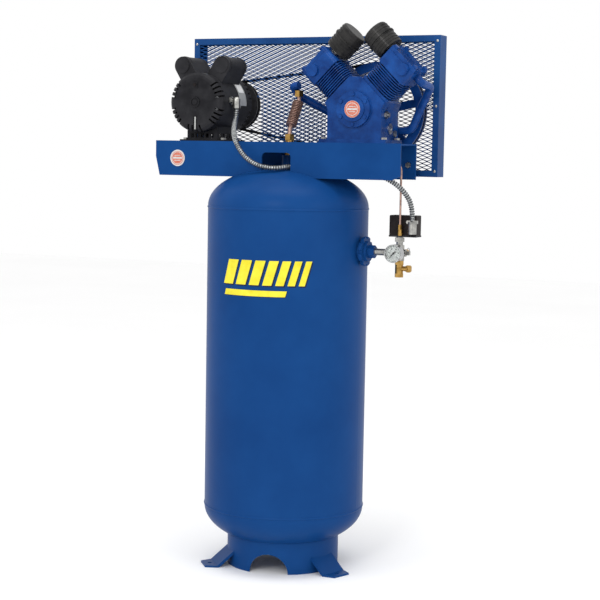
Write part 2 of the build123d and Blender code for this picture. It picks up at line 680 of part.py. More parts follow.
# ---------------------------------------------------------------- drive
def sheave(radius, width, groove):
    """Solid round sheave on the Y axis, centred on its own plane, with a belt groove."""
    wheel = Rot(90, 0, 0) * Cylinder(radius, width)
    ring = Cylinder(radius + 1, groove) - Cylinder(radius - GROOVE_DEPTH, groove)
    return wheel - Rot(90, 0, 0) * ring


def flywheel():
    """Spoked flywheel on the crankshaft's rear end."""
    wheel = sheave(FLYWHEEL_RADIUS, FLYWHEEL_WIDTH, BELT_WIDTH + 2 * BELT_SIDE_GAP)
    wheel -= Rot(90, 0, 0) * Cylinder(FLYWHEEL_RADIUS - FLYWHEEL_RIM, FLYWHEEL_WIDTH)
    reach = FLYWHEEL_RADIUS - FLYWHEEL_RIM + 4
    for angle in around(FLYWHEEL_SPOKES, 360 / FLYWHEEL_SPOKES, 12):
        spoke = Pos(reach / 2, 0, 0) * Box(reach, SPOKE_DEPTH, SPOKE_WIDTH)
        wheel += Rot(0, -angle, 0) * spoke
    wheel += Rot(90, 0, 0) * Cylinder(FLYWHEEL_HUB_RADIUS, FLYWHEEL_WIDTH)
    wheel -= Rot(90, 0, 0) * Cylinder(JOURNAL_RADIUS, 2 * FLYWHEEL_WIDTH)
    return Pos(PUMP_X, SHEAVE_PLANE, CRANK_Z) * wheel


def motor_pulley():
    """Sheave with a thin web, on the motor shaft."""
    wheel = sheave(PULLEY_RADIUS, PULLEY_WIDTH, BELT_WIDTH + 2 * BELT_SIDE_GAP)
    pocket_radius = PULLEY_RADIUS - GROOVE_DEPTH - PULLEY_RIM
    pocket = Cylinder(pocket_radius, PULLEY_WIDTH) - Cylinder(PULLEY_HUB_RADIUS, PULLEY_WIDTH)
    pocket -= Cylinder(pocket_radius, PULLEY_WEB)
    wheel -= Rot(90, 0, 0) * pocket
    wheel -= Rot(90, 0, 0) * Cylinder(MOTOR_SHAFT_RADIUS, 2 * PULLEY_WIDTH)
    return Pos(MOTOR_X, SHEAVE_PLANE, MOTOR_Z) * wheel


def belt_loop(motor_radius, pump_radius):
    """Area inside a band pulled round two wheels."""
    small = Pos(MOTOR_X, MOTOR_Z) * Circle(motor_radius)
    large = Pos(PUMP_X, CRANK_Z) * Circle(pump_radius)
    return make_hull(small.edges() + large.edges())


def drive_belt():
    outer = belt_loop(PULLEY_RADIUS - BELT_SINK, FLYWHEEL_RADIUS - BELT_SINK)
    sink = BELT_SINK + BELT_THICKNESS
    inner = belt_loop(PULLEY_RADIUS - sink, FLYWHEEL_RADIUS - sink)
    return slab(outer - inner, SHEAVE_PLANE - BELT_WIDTH / 2, SHEAVE_PLANE + BELT_WIDTH / 2)


# ---------------------------------------------------------------- motor
def motor_disc(radius, front, back, bore=0.0):
    """Disc or ring on the motor's axis."""
    return bar((MOTOR_X, front, MOTOR_Z), (0, 1, 0), radius, back - front, bore)


def motor_frame():
    """Rolled frame with its welded saddle base."""
    frame = motor_disc(MOTOR_RADIUS, MOTOR_FRAME_FRONT, MOTOR_FRAME_BACK)
    x = (MOTOR_X - MOTOR_FOOT_HALF, MOTOR_X + MOTOR_FOOT_HALF)
    y = (MOTOR_FRAME_FRONT + 4, MOTOR_FRAME_BACK - 4)
    plate = block(x, y, (DECK_TOP, DECK_TOP + DECK_PLATE))
    saddle_x = (MOTOR_X - SADDLE_HALF, MOTOR_X + SADDLE_HALF)
    inside_x = (saddle_x[0] + SADDLE_WALL, saddle_x[1] - SADDLE_WALL)
    inside_y = (y[0] + SADDLE_WALL, y[1] - SADDLE_WALL)
    saddle = block(saddle_x, y, (DECK_TOP, MOTOR_Z - 40))
    saddle -= block(inside_x, inside_y, (DECK_TOP - 1, MOTOR_Z - 30))
    slot_z = (DECK_TOP + SADDLE_SLOT_LOW, DECK_TOP + SADDLE_SLOT_HIGH)
    for step in (-2, -1, 0, 1, 2):
        y_slot = (y[0] + y[1]) / 2 + 2 * step * SADDLE_SLOT
        x_slot = MOTOR_X + 1.8 * step * SADDLE_SLOT
        y_range = (y_slot - SADDLE_SLOT / 2, y_slot + SADDLE_SLOT / 2)
        x_range = (x_slot - SADDLE_SLOT / 2, x_slot + SADDLE_SLOT / 2)
        saddle -= block((saddle_x[0] - 1, saddle_x[1] + 1), y_range, slot_z)
        saddle -= block(x_range, (y[0] - 1, y[1] + 1), slot_z)
    frame = frame + plate + saddle
    frame -= motor_disc(MOTOR_RADIUS - MOTOR_WALL, MOTOR_FRAME_FRONT, MOTOR_FRAME_BACK)
    for x_bolt, y_bolt in MOTOR_BOLTS:
        frame -= Pos(x_bolt, y_bolt, DECK_TOP) * Cylinder(DECK_BOLT / 2 + BOLT_CLEARANCE, 6 * DECK_PLATE)
    return frame


def bell_half(radius, length):
    """Half section of an end bell: straight side, rounded rim and flat face."""
    shoulder = BELL_SHOULDER - (BELL_LENGTH - length)
    return make_face(Polyline(
        (0, 0),
        (radius, 0),
        (radius, shoulder),
        (radius - BELL_ROUND / 2, length - BELL_ROUND / 5),
        (radius - BELL_ROUND, length),
        (0, length),
        close=True,
    ))


def bell():
    """End bell with its flat side on Z = 0 and its nose up: groups of air slots cut its rim."""
    section = bell_half(MOTOR_RADIUS, BELL_LENGTH)
    section -= bell_half(MOTOR_RADIUS - BELL_WALL, BELL_LENGTH - BELL_WALL)
    shell = revolve(Plane.XZ * section, Axis.Z)
    pocket_base = BELL_LENGTH - BELL_WALL - MOTOR_BEARING_WIDTH
    shell += Pos(0, 0, pocket_base) * Cylinder(MOTOR_BEARING_RADIUS + 6, MOTOR_BEARING_WIDTH, align=FROM_BASE)
    shell -= Pos(0, 0, pocket_base) * Cylinder(MOTOR_BEARING_RADIUS, MOTOR_BEARING_WIDTH, align=FROM_BASE)
    for first in BELL_SLOT_GROUPS:
        for angle in around(BELL_SLOTS, BELL_SLOT_STEP, first):
            cutter = Box(2 * BELL_SLOT_REACH, BELL_SLOT_WIDTH, 2 * BELL_SLOT_LENGTH)
            shell -= Rot(0, 0, angle) * Pos(MOTOR_RADIUS, 0, BELL_LENGTH) * cutter
    return shell


def motor_front_bell():
    """Front bell with a blind hub and a square boss for the reset button."""
    nose = Plane(origin=(MOTOR_X, MOTOR_FRAME_FRONT, MOTOR_Z), x_dir=(1, 0, 0), z_dir=(0, -1, 0))
    shell = bell()
    face = BELL_LENGTH - BELL_WALL
    shell += Pos(0, 0, face) * Cylinder(HUB_RADIUS, BELL_WALL + HUB_RISE, align=FROM_BASE)
    groove = Cylinder(HUB_RADIUS - 3, HUB_GROOVE, align=FROM_BASE)
    groove -= Cylinder(HUB_RADIUS / 2, HUB_GROOVE, align=FROM_BASE)
    shell -= Pos(0, 0, BELL_LENGTH + HUB_RISE - HUB_GROOVE) * groove
    shell += Pos(0, RESET_RISE, face) * Box(RESET_BOSS, RESET_BOSS, BELL_WALL + RESET_TRAVEL, align=FROM_BASE)
    shell -= Pos(0, RESET_RISE, 0) * Cylinder(RESET_RADIUS + RUNNING_FIT, 2 * BELL_LENGTH, align=FROM_BASE)
    return nose * shell


def motor_rear_bell():
    tail = Plane(origin=(MOTOR_X, MOTOR_FRAME_BACK, MOTOR_Z), x_dir=(-1, 0, 0), z_dir=(0, 1, 0))
    shell = bell() - Cylinder(MOTOR_SHAFT_RADIUS + 2, 3 * BELL_LENGTH)
    return tail * shell


def reset_button():
    """Thermal reset button, sprung outwards in the front bell."""
    proud = RESET_TRAVEL + 1
    face = MOTOR_FRONT - RESET_TRAVEL - proud
    return bar((MOTOR_X, face, MOTOR_Z + RESET_RISE), (0, 1, 0), RESET_RADIUS, 2 * BELL_WALL + proud)


def motor_stator():
    """Wound stator: laminated ring and the two coil heads."""
    core = motor_disc(MOTOR_RADIUS - MOTOR_WALL, STATOR_FRONT, STATOR_BACK, STATOR_BORE)
    front_coil = motor_disc(COIL_RADIUS, STATOR_FRONT - COIL_LENGTH, STATOR_FRONT, STATOR_BORE + 4)
    rear_coil = motor_disc(COIL_RADIUS, STATOR_BACK, STATOR_BACK + COIL_LENGTH, STATOR_BORE + 4)
    return core + front_coil + rear_coil


def motor_rotor():
    """Rotor core with its end rings, and the shaft pressed through it."""
    core = motor_disc(STATOR_BORE - AIR_GAP, STATOR_FRONT, STATOR_BACK, MOTOR_SHAFT_RADIUS)
    core += motor_disc(ROTOR_FIN_RADIUS, STATOR_FRONT - ROTOR_FIN_LENGTH, STATOR_FRONT, MOTOR_SHAFT_RADIUS)
    core += motor_disc(ROTOR_FIN_RADIUS, STATOR_BACK, STATOR_BACK + ROTOR_FIN_LENGTH, MOTOR_SHAFT_RADIUS)
    front_end = MOTOR_FRONT + BELL_WALL + FREE_GAP
    back_end = SHEAVE_PLANE + PULLEY_WIDTH / 2
    shaft = motor_disc(MOTOR_SHAFT_RADIUS, front_end, back_end)
    return group(core, shaft)


def can_axis(side):
    return MOTOR_X + side * CAN_SIDE, MOTOR_Z + CAN_RISE


def capacitor_cover(side):
    """Closed sheet cover: a round barrel on a skirt that fits the frame."""
    x, z = can_axis(side)
    y = CAN_FRONT
    lean = math.degrees(math.atan2(side * CAN_SIDE, CAN_RISE))
    outer = bar((x, y, z), (0, 1, 0), CAN_RADIUS, CAN_LENGTH)
    outer += bar((x, y - 3, z), (0, 1, 0), CAN_RADIUS - 5, 4)
    outer += bar((x, y + 12, z), (0, 1, 0), CAN_RADIUS + 1.2, 4)
    outer += bar((x, y + CAN_LENGTH - 16, z), (0, 1, 0), CAN_RADIUS + 1.2, 4)
    inner = bar((x, y + CAN_WALL, z), (0, 1, 0), CAN_RADIUS - CAN_WALL, CAN_LENGTH - 2 * CAN_WALL)
    skirt_place = Pos(MOTOR_X, y + CAN_LENGTH / 2, MOTOR_Z) * Rot(0, lean, 0)
    reach = math.hypot(CAN_SIDE, CAN_RISE)
    skirt = Pos(0, 0, reach / 2) * Box(2 * CAN_RADIUS, CAN_LENGTH, reach)
    hollow = Pos(0, 0, reach / 2) * Box(2 * (CAN_RADIUS - CAN_WALL), CAN_LENGTH - 2 * CAN_WALL, reach)
    cover = (outer + skirt_place * skirt) - inner - skirt_place * hollow
    return cover - motor_disc(MOTOR_RADIUS, MOTOR_FRONT, MOTOR_BACK)


def capacitor_covers():
    return group(capacitor_cover(LEFT), capacitor_cover(RIGHT))


def motor_capacitors():
    cans = []
    for side in (LEFT, RIGHT):
        x, z = can_axis(side)
        cans.append(bar((x, CAN_FRONT + 8, z), (0, 1, 0), CAPACITOR_RADIUS, CAN_LENGTH - 16))
    return group(*cans)


def shaft_bearings():
    """Ball bearings of the motor and of the crankshaft, as plain rings."""
    rings = []
    motor_places = (MOTOR_FRONT + BELL_WALL, MOTOR_BACK - BELL_WALL - MOTOR_BEARING_WIDTH)
    for y in motor_places:
        rings.append(motor_disc(MOTOR_BEARING_RADIUS, y, y + MOTOR_BEARING_WIDTH,
                                MOTOR_SHAFT_RADIUS + RUNNING_FIT))
    for y in (CRANK_BEARING_FRONT, CRANK_BEARING_BACK):
        rings.append(pump_disc(CRANK_BEARING_RADIUS, y, y + CRANK_BEARING_WIDTH,
                               JOURNAL_RADIUS + RUNNING_FIT))
    return group(*rings)


# ---------------------------------------------------------------- pump
def pump_disc(radius, front, back, bore=0.0):
    """Disc or ring on the crankshaft's axis."""
    return bar((PUMP_X, front, CRANK_Z), (0, 1, 0), radius, back - front, bore)


def case_outline():
    """Crankcase seen from the front: straight sides, two 45 degree cylinder pads and a ridge."""
    high = (BANK_START + BANK_HALF) * K
    low = (BANK_START - BANK_HALF) * K
    right = [(CASE_HALF_WIDTH, -CRANK_OVER_DECK), (CASE_HALF_WIDTH, 0), (high, low), (low, high)]
    left = [(-x, z) for x, z in reversed(right)]
    return Pos(PUMP_X, CRANK_Z) * make_face(Polyline(*right, *left, close=True))


def crankcase():
    """Hollow case with a foot flange, cylinder openings, a front opening and a rear bearing boss."""
    outline = case_outline()
    case = slab(outline, CASE_FRONT, CASE_BACK)
    cavity = offset(outline, -CASE_WALL, kind=Kind.INTERSECTION)
    foot = block((PUMP_X - CASE_FOOT_HALF, PUMP_X + CASE_FOOT_HALF), (CASE_FRONT - 14, CASE_BACK - 20),
                 (DECK_TOP, DECK_TOP + CASE_FOOT_THICK))
    case += foot
    case += pump_disc(COVER_RADIUS + 4, CASE_FRONT - 2, CASE_FRONT + 4)
    case -= slab(cavity, CASE_FRONT + CASE_WALL, CASE_BACK - CASE_WALL)
    case += pump_disc(CASE_BOSS_RADIUS, CRANK_BEARING_BACK, CASE_BACK + 2)
    case -= pump_disc(CRANK_BEARING_RADIUS, CRANK_BEARING_BACK, CRANK_BEARING_BACK + CRANK_BEARING_WIDTH)
    case -= pump_disc(JOURNAL_RADIUS + 1, CASE_BACK - 20, CASE_BACK + 10)
    case -= pump_disc(COVER_SPIGOT + FREE_GAP / 2, CASE_FRONT - 10, CASE_FRONT + 2 * CASE_WALL)
    for side in (LEFT, RIGHT):
        case -= bank_plane(side) * Pos(0, 0, BANK_START - 30) * Cylinder(
            BORE_RADIUS + 2, 60, align=FROM_BASE
        )
    for x, y in PUMP_BOLTS:
        case -= Pos(x, y, DECK_TOP) * Cylinder(DECK_BOLT / 2 + BOLT_CLEARANCE, 4 * CASE_FOOT_THICK)
    wall = PUMP_X + CASE_HALF_WIDTH
    for y, rise, radius in ((GLASS_Y, GLASS_RISE, GLASS_RADIUS), (FILL_Y, FILL_RISE, PLUG_RADIUS),
                            (DRAIN_PLUG_Y, DRAIN_PLUG_RISE, PLUG_RADIUS)):
        case -= bar((wall + 1, y, DECK_TOP + rise), (-1, 0, 0), radius, 2 * CASE_WALL)
    return case


def front_bearing_cover():
    """Bolted round cover that holds the front bearing, with a raised centre."""
    plate = pump_disc(COVER_RADIUS, CASE_FRONT - 2 - COVER_PLATE + 2, CASE_FRONT - 2)
    plate += pump_disc(COVER_RADIUS - 18, COVER_FACE, CASE_FRONT - 2)
    plate += pump_disc(COVER_SPIGOT, CASE_FRONT - 2, CASE_FRONT + CASE_WALL)
    plate -= pump_disc(CRANK_BEARING_RADIUS, CRANK_BEARING_FRONT, CASE_FRONT + 2 * CASE_WALL)
    for angle in around(COVER_BOLTS, 360 / COVER_BOLTS, 30):
        x, z = cover_bolt_place(angle)
        plate -= bar((x, COVER_FACE - 1, z), (0, 1, 0), PUMP_SCREW / 2 + SCREW_CLEARANCE, 30)
    return plate


def cover_bolt_place(angle):
    turn = math.radians(angle)
    return PUMP_X + COVER_BOLT_CIRCLE * math.cos(turn), CRANK_Z + COVER_BOLT_CIRCLE * math.sin(turn)


def crankshaft():
    """Two journals, two webs with counterweights and one crankpin for both rods."""
    throw = STROKE / 2
    front_end = CRANK_BEARING_FRONT + 1
    back_end = SHEAVE_PLANE + FLYWHEEL_WIDTH / 2
    shaft = pump_disc(JOURNAL_RADIUS, front_end, WEB_FRONT)
    shaft += pump_disc(JOURNAL_RADIUS, WEB_BACK, back_end)
    web = Circle(COUNTERWEIGHT_RADIUS) & Pos(0, -COUNTERWEIGHT_RADIUS / 2) * Rectangle(
        2 * COUNTERWEIGHT_RADIUS, COUNTERWEIGHT_RADIUS
    )
    web += Pos(0, throw / 2) * Rectangle(2 * CRANKPIN_RADIUS + 10, throw + 4)
    web += Pos(0, throw) * Circle(CRANKPIN_RADIUS + 5)
    web = Pos(PUMP_X, CRANK_Z) * web
    shaft += slab(web, WEB_FRONT, WEB_FRONT + WEB_THICKNESS)
    shaft += slab(web, WEB_BACK - WEB_THICKNESS, WEB_BACK)
    pin = bar((PUMP_X, WEB_FRONT, CRANK_Z + throw), (0, 1, 0), CRANKPIN_RADIUS, WEB_BACK - WEB_FRONT)
    return shaft + pin


def cylinder_barrel(side):
    """Finned barrel between a base flange and a top flange."""
    barrel = Pos(0, 0, BANK_START) * Cylinder(BARREL_RADIUS, BARREL_LENGTH, align=FROM_BASE)
    square = RectangleRounded(2 * BANK_HALF, 2 * BANK_HALF, 14)
    barrel += Pos(0, 0, BANK_START) * extrude(square, 9)
    barrel += Pos(0, 0, BARREL_TOP - 9) * extrude(square, 9)
    fins = int((BARREL_LENGTH - 2 * 9 - FIN_PITCH / 2) / FIN_PITCH)
    fin_shape = RectangleRounded(2 * BANK_HALF, 2 * BANK_HALF, 30)
    for index in range(fins):
        height = BANK_START + 9 + FIN_PITCH * (index + 1) - FIN_THICKNESS
        barrel += Pos(0, 0, height) * extrude(fin_shape, FIN_THICKNESS)
    barrel -= Pos(0, 0, BANK_START) * Cylinder(BORE_RADIUS, BARREL_LENGTH, align=FROM_BASE)
    for x, y in head_bolt_places():
        barrel -= Pos(x, y, BARREL_TOP - 20) * Cylinder(HEAD_BOLT / 2 + SCREW_CLEARANCE, 20, align=FROM_BASE)
    return bank_plane(side) * barrel


def head_bolt_places():
    spread = HEAD_BOLT_SPREAD
    return [(x, y) for x in (-spread, spread) for y in (-spread, spread)]


def valve_plate(side):
    """Plate between barrel and head, with a suction and a discharge hole."""
    square = RectangleRounded(2 * BANK_HALF, 2 * BANK_HALF, 14)
    square -= Pos(0, 18) * Circle(9)
    square -= Pos(0, -18) * Circle(9)
    plate = Pos(0, 0, BARREL_TOP) * extrude(square, VALVE_PLATE)
    for x, y in head_bolt_places():
        plate -= Pos(x, y, BARREL_TOP) * Cylinder(HEAD_BOLT / 2 + SCREW_CLEARANCE, VALVE_PLATE, align=FROM_BASE)
    return bank_plane(side) * plate


def valve_plates():
    return group(valve_plate(LEFT), valve_plate(RIGHT))


def cylinder_head(side):
    """Finned head with a suction chamber to the inside of the V and a discharge chamber outside."""
    square = RectangleRounded(2 * BANK_HALF, 2 * BANK_HALF, 14)
    head = Pos(0, 0, HEAD_START) * extrude(square, HEAD_BODY)
    top = HEAD_START + HEAD_BODY
    clip = Pos(0, 0, top) * extrude(square, HEAD_FINS)
    for index in range(HEAD_FIN_COUNT):
        offset_x = (index - (HEAD_FIN_COUNT - 1) / 2) * HEAD_FIN_PITCH
        head += clip & Pos(offset_x, 0, top) * Box(
            HEAD_FIN_THICKNESS, 2 * BANK_HALF, HEAD_FINS, align=FROM_BASE
        )
    for x, y in head_bolt_places():
        head += Pos(x, y, top) * Cylinder(HEAD_BOLT + 1, HEAD_FINS, align=FROM_BASE)
    for lateral in (-1, 1):
        head += Plane(origin=(0, 0, PORT_ALONG), z_dir=(0, lateral, 0)) * Cylinder(
            PORT_RADIUS + 8, BANK_HALF, align=FROM_BASE
        )
        chamber = Box(2 * BANK_HALF - 46, BANK_HALF - 16, HEAD_BODY - 8, align=FROM_BASE)
        head -= Pos(0, lateral * (BANK_HALF / 2 - 3), HEAD_START) * chamber
        head -= Plane(origin=(0, lateral * 20, PORT_ALONG), z_dir=(0, lateral, 0)) * Cylinder(
            PORT_RADIUS, BANK_HALF, align=FROM_BASE
        )
    boss = Plane(origin=(-side * (BANK_HALF - 6), -24, PORT_ALONG - 2), z_dir=(-side, 0, 0))
    head += boss * Cylinder(19, 14, align=FROM_BASE)
    for x, y in head_bolt_places():
        head -= Pos(x, y, HEAD_START) * Cylinder(
            HEAD_BOLT / 2 + SCREW_CLEARANCE, HEAD_BODY + HEAD_FINS, align=FROM_BASE
        )
    return bank_plane(side) * head


def pump_bolts():
    """Head bolts of both banks and the screws of the front cover."""
    bolts = []
    for side in (LEFT, RIGHT):
        for x, y in head_bolt_places():
            grip = HEAD_TOP - BARREL_TOP + 18
            shank = Pos(x, y, HEAD_TOP - grip) * Cylinder(HEAD_BOLT / 2, grip, align=FROM_BASE)
            hexagon_head = Pos(x, y, HEAD_TOP) * extrude(RegularPolygon(HEAD_BOLT * 0.95, 6), 7)
            bolts.append(bank_plane(side) * (shank + hexagon_head))
    for angle in around(COVER_BOLTS, 360 / COVER_BOLTS, 30):
        x, z = cover_bolt_place(angle)
        seat = CASE_FRONT - COVER_PLATE
        shank = bar((x, seat, z), (0, 1, 0), PUMP_SCREW / 2, 8)
        bolts.append(hexagon((x, seat, z), (0, -1, 0), PUMP_SCREW, 4) + shank)
    return group(*bolts)


def piston(side):
    """Hollow piston with three ring grooves, its rings and its wrist pin, at mid stroke."""
    crown = PISTON_MID_TOP
    radius = BORE_RADIUS - SLIDE_FIT
    body = Pos(0, 0, crown - PISTON_LENGTH) * Cylinder(radius, PISTON_LENGTH, align=FROM_BASE)
    body -= Pos(0, 0, crown - PISTON_LENGTH) * Cylinder(
        radius - PISTON_WALL, PISTON_LENGTH - 8, align=FROM_BASE
    )
    rings = []
    for depth in RING_DEPTHS:
        groove = Cylinder(radius + 1, RING_HEIGHT + 0.1) - Cylinder(radius - 3, RING_HEIGHT + 0.1)
        body -= Pos(0, 0, crown - depth) * groove
        ring = Cylinder(radius, RING_HEIGHT) - Cylinder(radius - 2.9, RING_HEIGHT)
        rings.append(bank_plane(side) * Pos(0, 0, crown - depth) * ring)
    pin_height = crown - WRIST_PIN_DEPTH
    along_shaft = Plane(origin=(-radius + 3, 0, pin_height), z_dir=(1, 0, 0))
    body -= along_shaft * Cylinder(PIN_RADIUS, 2 * radius - 6, align=FROM_BASE)
    pin = along_shaft * (Cylinder(PIN_RADIUS, 2 * radius - 6, align=FROM_BASE)
                         - Cylinder(PIN_RADIUS - 3, 2 * radius - 6, align=FROM_BASE))
    return group(bank_plane(side) * body, bank_plane(side) * pin, *rings)


def side_of_head(side, distance):
    """Frame on the inner side of a head, with Z pointing away from the head."""
    return bank_plane(side) * Plane(origin=(0, distance, PORT_ALONG), z_dir=(0, 1, 0))


def intake_nipples():
    """Short threaded pipes between the heads and the filters."""
    pieces = []
    for side in (LEFT, RIGHT):
        place = side_of_head(side, BANK_HALF - 18)
        length = 18 + FILTER_NECK + 6
        pipe = Cylinder(PORT_RADIUS, length, align=FROM_BASE)
        pipe -= Cylinder(PORT_RADIUS - 3, length, align=FROM_BASE)
        collar = extrude(RegularPolygon(PORT_RADIUS + 5, 6), FILTER_NECK - 3)
        collar -= Cylinder(PORT_RADIUS - 1, FILTER_NECK, align=FROM_BASE)
        pieces.append(place * (pipe + Pos(0, 0, 19) * collar))
    return group(*pieces)


def filter_housing(side):
    """Closed round canister with ribs and a seam ring."""
    can = Cylinder(FILTER_RADIUS - 1.5, FILTER_LENGTH, align=FROM_BASE)
    can = fillet(can.edges().filter_by(GeomType.CIRCLE).sort_by(Axis.Z)[-1], 7)
    for index in range(FILTER_RIBS):
        height = 8 + index * (FILTER_LENGTH - 22) / (FILTER_RIBS - 1)
        can += Pos(0, 0, height) * Cylinder(FILTER_RADIUS, 3, align=FROM_BASE)
    can += Pos(0, 0, FILTER_LENGTH * 0.52) * Cylinder(FILTER_RADIUS + 2.5, 4.5, align=FROM_BASE)
    can -= Pos(0, 0, 2) * Cylinder(FILTER_RADIUS - 3.5, FILTER_LENGTH - 10, align=FROM_BASE)
    can -= Cylinder(PORT_RADIUS, 10)
    return side_of_head(side, BANK_HALF + FILTER_NECK) * can


def filter_housings():
    return group(filter_housing(LEFT), filter_housing(RIGHT))


def filter_elements():
    """Paper rings inside the canisters."""
    elements = []
    for side in (LEFT, RIGHT):
        ring = Cylinder(FILTER_RADIUS - 6, FILTER_LENGTH - 16, align=FROM_BASE)
        ring -= Cylinder(FILTER_RADIUS - 20, FILTER_LENGTH - 16, align=FROM_BASE)
        elements.append(side_of_head(side, BANK_HALF + FILTER_NECK + 5) * ring)
    return group(*elements)


def oil_sight_glass():
    """Round sight glass with its ring, in the right wall of the crankcase."""
    wall = PUMP_X + CASE_HALF_WIDTH
    height = DECK_TOP + GLASS_RISE
    opening = GLASS_RADIUS - GLASS_RING
    ring = bar((wall - CASE_WALL, GLASS_Y, height), (1, 0, 0), GLASS_RADIUS, CASE_WALL + GLASS_RING, opening)
    ring += bar((wall, GLASS_Y, height), (1, 0, 0), GLASS_RADIUS + 4, GLASS_RING, opening)
    glass = bar((wall - GLASS_RING, GLASS_Y, height), (1, 0, 0), opening, GLASS_RING + 1)
    return group(ring, glass)


def crankcase_plugs():
    """Oil fill plug with its breather cap, and the oil drain plug."""
    wall = PUMP_X + CASE_HALF_WIDTH
    fill_z = DECK_TOP + FILL_RISE
    drain_z = DECK_TOP + DRAIN_PLUG_RISE
    fill = bar((wall - CASE_WALL, FILL_Y, fill_z), (1, 0, 0), PLUG_RADIUS, CASE_WALL)
    fill += hexagon((wall, FILL_Y, fill_z), (1, 0, 0), PLUG_RADIUS + 4, 8)
    fill += bar((wall + 8, FILL_Y, fill_z), (1, 0, 0), PLUG_RADIUS - 1, 6)
    drain = bar((wall - CASE_WALL, DRAIN_PLUG_Y, drain_z), (1, 0, 0), PLUG_RADIUS, CASE_WALL)
    drain += hexagon((wall, DRAIN_PLUG_Y, drain_z), (1, 0, 0), PLUG_RADIUS + 3, 6)
    return group(fill, drain)


# ---------------------------------------------------------------- discharge line
def outer_port(side, reach):
    """Point out from the outer side of a head."""
    place = bank_plane(side) * Pos(0, -(BANK_HALF + reach), PORT_ALONG)
    return place.position


def discharge_manifold():
    """Painted pipe joining both heads to a tee above the finned tube; it passes behind the pump."""
    left_port = outer_port(LEFT, -12)
    left_out = outer_port(LEFT, 16)
    tee = DISCHARGE_TEE
    branch = round_tube(
        [left_port, left_out, Vector(tee.X + 2, tee.Y + 1, tee.Z - 2)],
        [8.0], PIPE_RADIUS - FREE_GAP,
    )
    body = bar((tee.X, tee.Y, COOLER_TOP), (0, 0, 1), PIPE_RADIUS + 4, 2 * TEE_HALF_HEIGHT)
    cross_y = CASE_BACK + 6 + PIPE_RADIUS
    route = [
        tee,
        Vector(tee.X - 24, tee.Y + 4, tee.Z - 2),
        Vector(tee.X - 18, tee.Y + 40, tee.Z - 30),
        Vector(PUMP_X - 146, cross_y - 4, CRANK_Z - 8),
        Vector(PUMP_X - 128, cross_y, CRANK_Z - 62),
        Vector(PUMP_X + 128, cross_y, CRANK_Z - 62),
        Vector(PUMP_X + 160, cross_y - 4, CRANK_Z + 10),
        Vector(outer_port(RIGHT, 30).X, cross_y - 30, outer_port(RIGHT, 30).Z - 6),
        outer_port(RIGHT, 22),
        outer_port(RIGHT, -12),
    ]
    radii = [10.0, 14.0, 30.0, 26.0, 30.0, 40.0, 16.0, 8.0]
    return body + branch + round_tube(route, radii, PIPE_RADIUS - FREE_GAP)


def aftercooler_tube():
    """Copper tube with round fins, from the tee down to the check valve."""
    top = Vector(DISCHARGE_TEE.X, DISCHARGE_TEE.Y, COOLER_TOP - 4)
    upper = Vector(DISCHARGE_TEE.X, DISCHARGE_TEE.Y, COOLER_TOP - COOLER_NUT - 12)
    lower = Vector(0, 0, CHECK_NUT_TOP + 14)
    bottom = Vector(0, 0, CHECK_NUT_TOP - 12)
    tube = round_tube([top, upper, lower, bottom], [16.0, 16.0], COOLER_TUBE_RADIUS)
    slope = (lower - upper).normalized()
    finned = (lower - upper).length - 16
    for index in range(int(finned / COOLER_FIN_PITCH)):
        place = upper + slope * (8 + index * COOLER_FIN_PITCH)
        tube += bar(place, slope, COOLER_FIN_RADIUS, COOLER_FIN_THICKNESS)
    return tube


def brass_nuts():
    """Compression nuts of the finned tube and of the unloader line."""
    top = hexagon((DISCHARGE_TEE.X, DISCHARGE_TEE.Y, COOLER_TOP - COOLER_NUT), (0, 0, 1),
                  15, COOLER_NUT, COOLER_TUBE_RADIUS)
    bottom = hexagon((0, 0, CHECK_NUT_TOP - COOLER_NUT), (0, 0, 1), CHECK_NUT_RADIUS,
                     COOLER_NUT, COOLER_TUBE_RADIUS)
    elbow = bar((UNLOADER_X, SWITCH_FRONT, SWITCH_BOTTOM + 12), (0, -1, 0), 6, 12)
    elbow += bar((UNLOADER_X, UNLOADER_Y, SWITCH_BOTTOM + 5), (0, 0, 1), 7.5, 18)
    elbow += hexagon((UNLOADER_X, UNLOADER_Y, SWITCH_BOTTOM + 23), (0, 0, 1), 6.5, 15)
    elbow -= bar((UNLOADER_X, UNLOADER_Y, SWITCH_BOTTOM + 16), (0, 0, 1), UNLOADER_RADIUS, 30)
    return group(top, bottom, elbow)


def check_valve():
    """Brass check valve in the tank's top coupling, with a side port for the unloader line."""
    base = TANK_TOP
    body = bar((0, 0, base), (0, 0, 1), CHECK_THREAD_RADIUS, CHECK_NUT_TOP - COOLER_NUT - base)
    body += hexagon((0, 0, TANK_TOP + TOP_COUPLING_RISE), (0, 0, 1), CHECK_NUT_RADIUS, 18)
    body += bar((0, 0, UNLOADER_RUN_Z), (1, 0, 0), 7, 24)
    body -= bar((0, 0, base), (0, 0, 1), COOLER_TUBE_RADIUS, 20)
    body -= bar((14, 0, UNLOADER_RUN_Z), (1, 0, 0), UNLOADER_RADIUS, 20)
    return body


def unloader_tube():
    """Thin copper line from the check valve, under the deck, down to the pressure switch."""
    route = [
        Vector(16, 0, UNLOADER_RUN_Z),
        Vector(70, 0, UNLOADER_RUN_Z),
        Vector(330, -26, UNLOADER_RUN_Z - 4),
        Vector(UNLOADER_X, UNLOADER_Y, UNLOADER_RUN_Z - 34),
        Vector(UNLOADER_X, UNLOADER_Y, SWITCH_BOTTOM + 17),
    ]
    return round_tube(route, [60.0, 40.0, 30.0], UNLOADER_RADIUS)


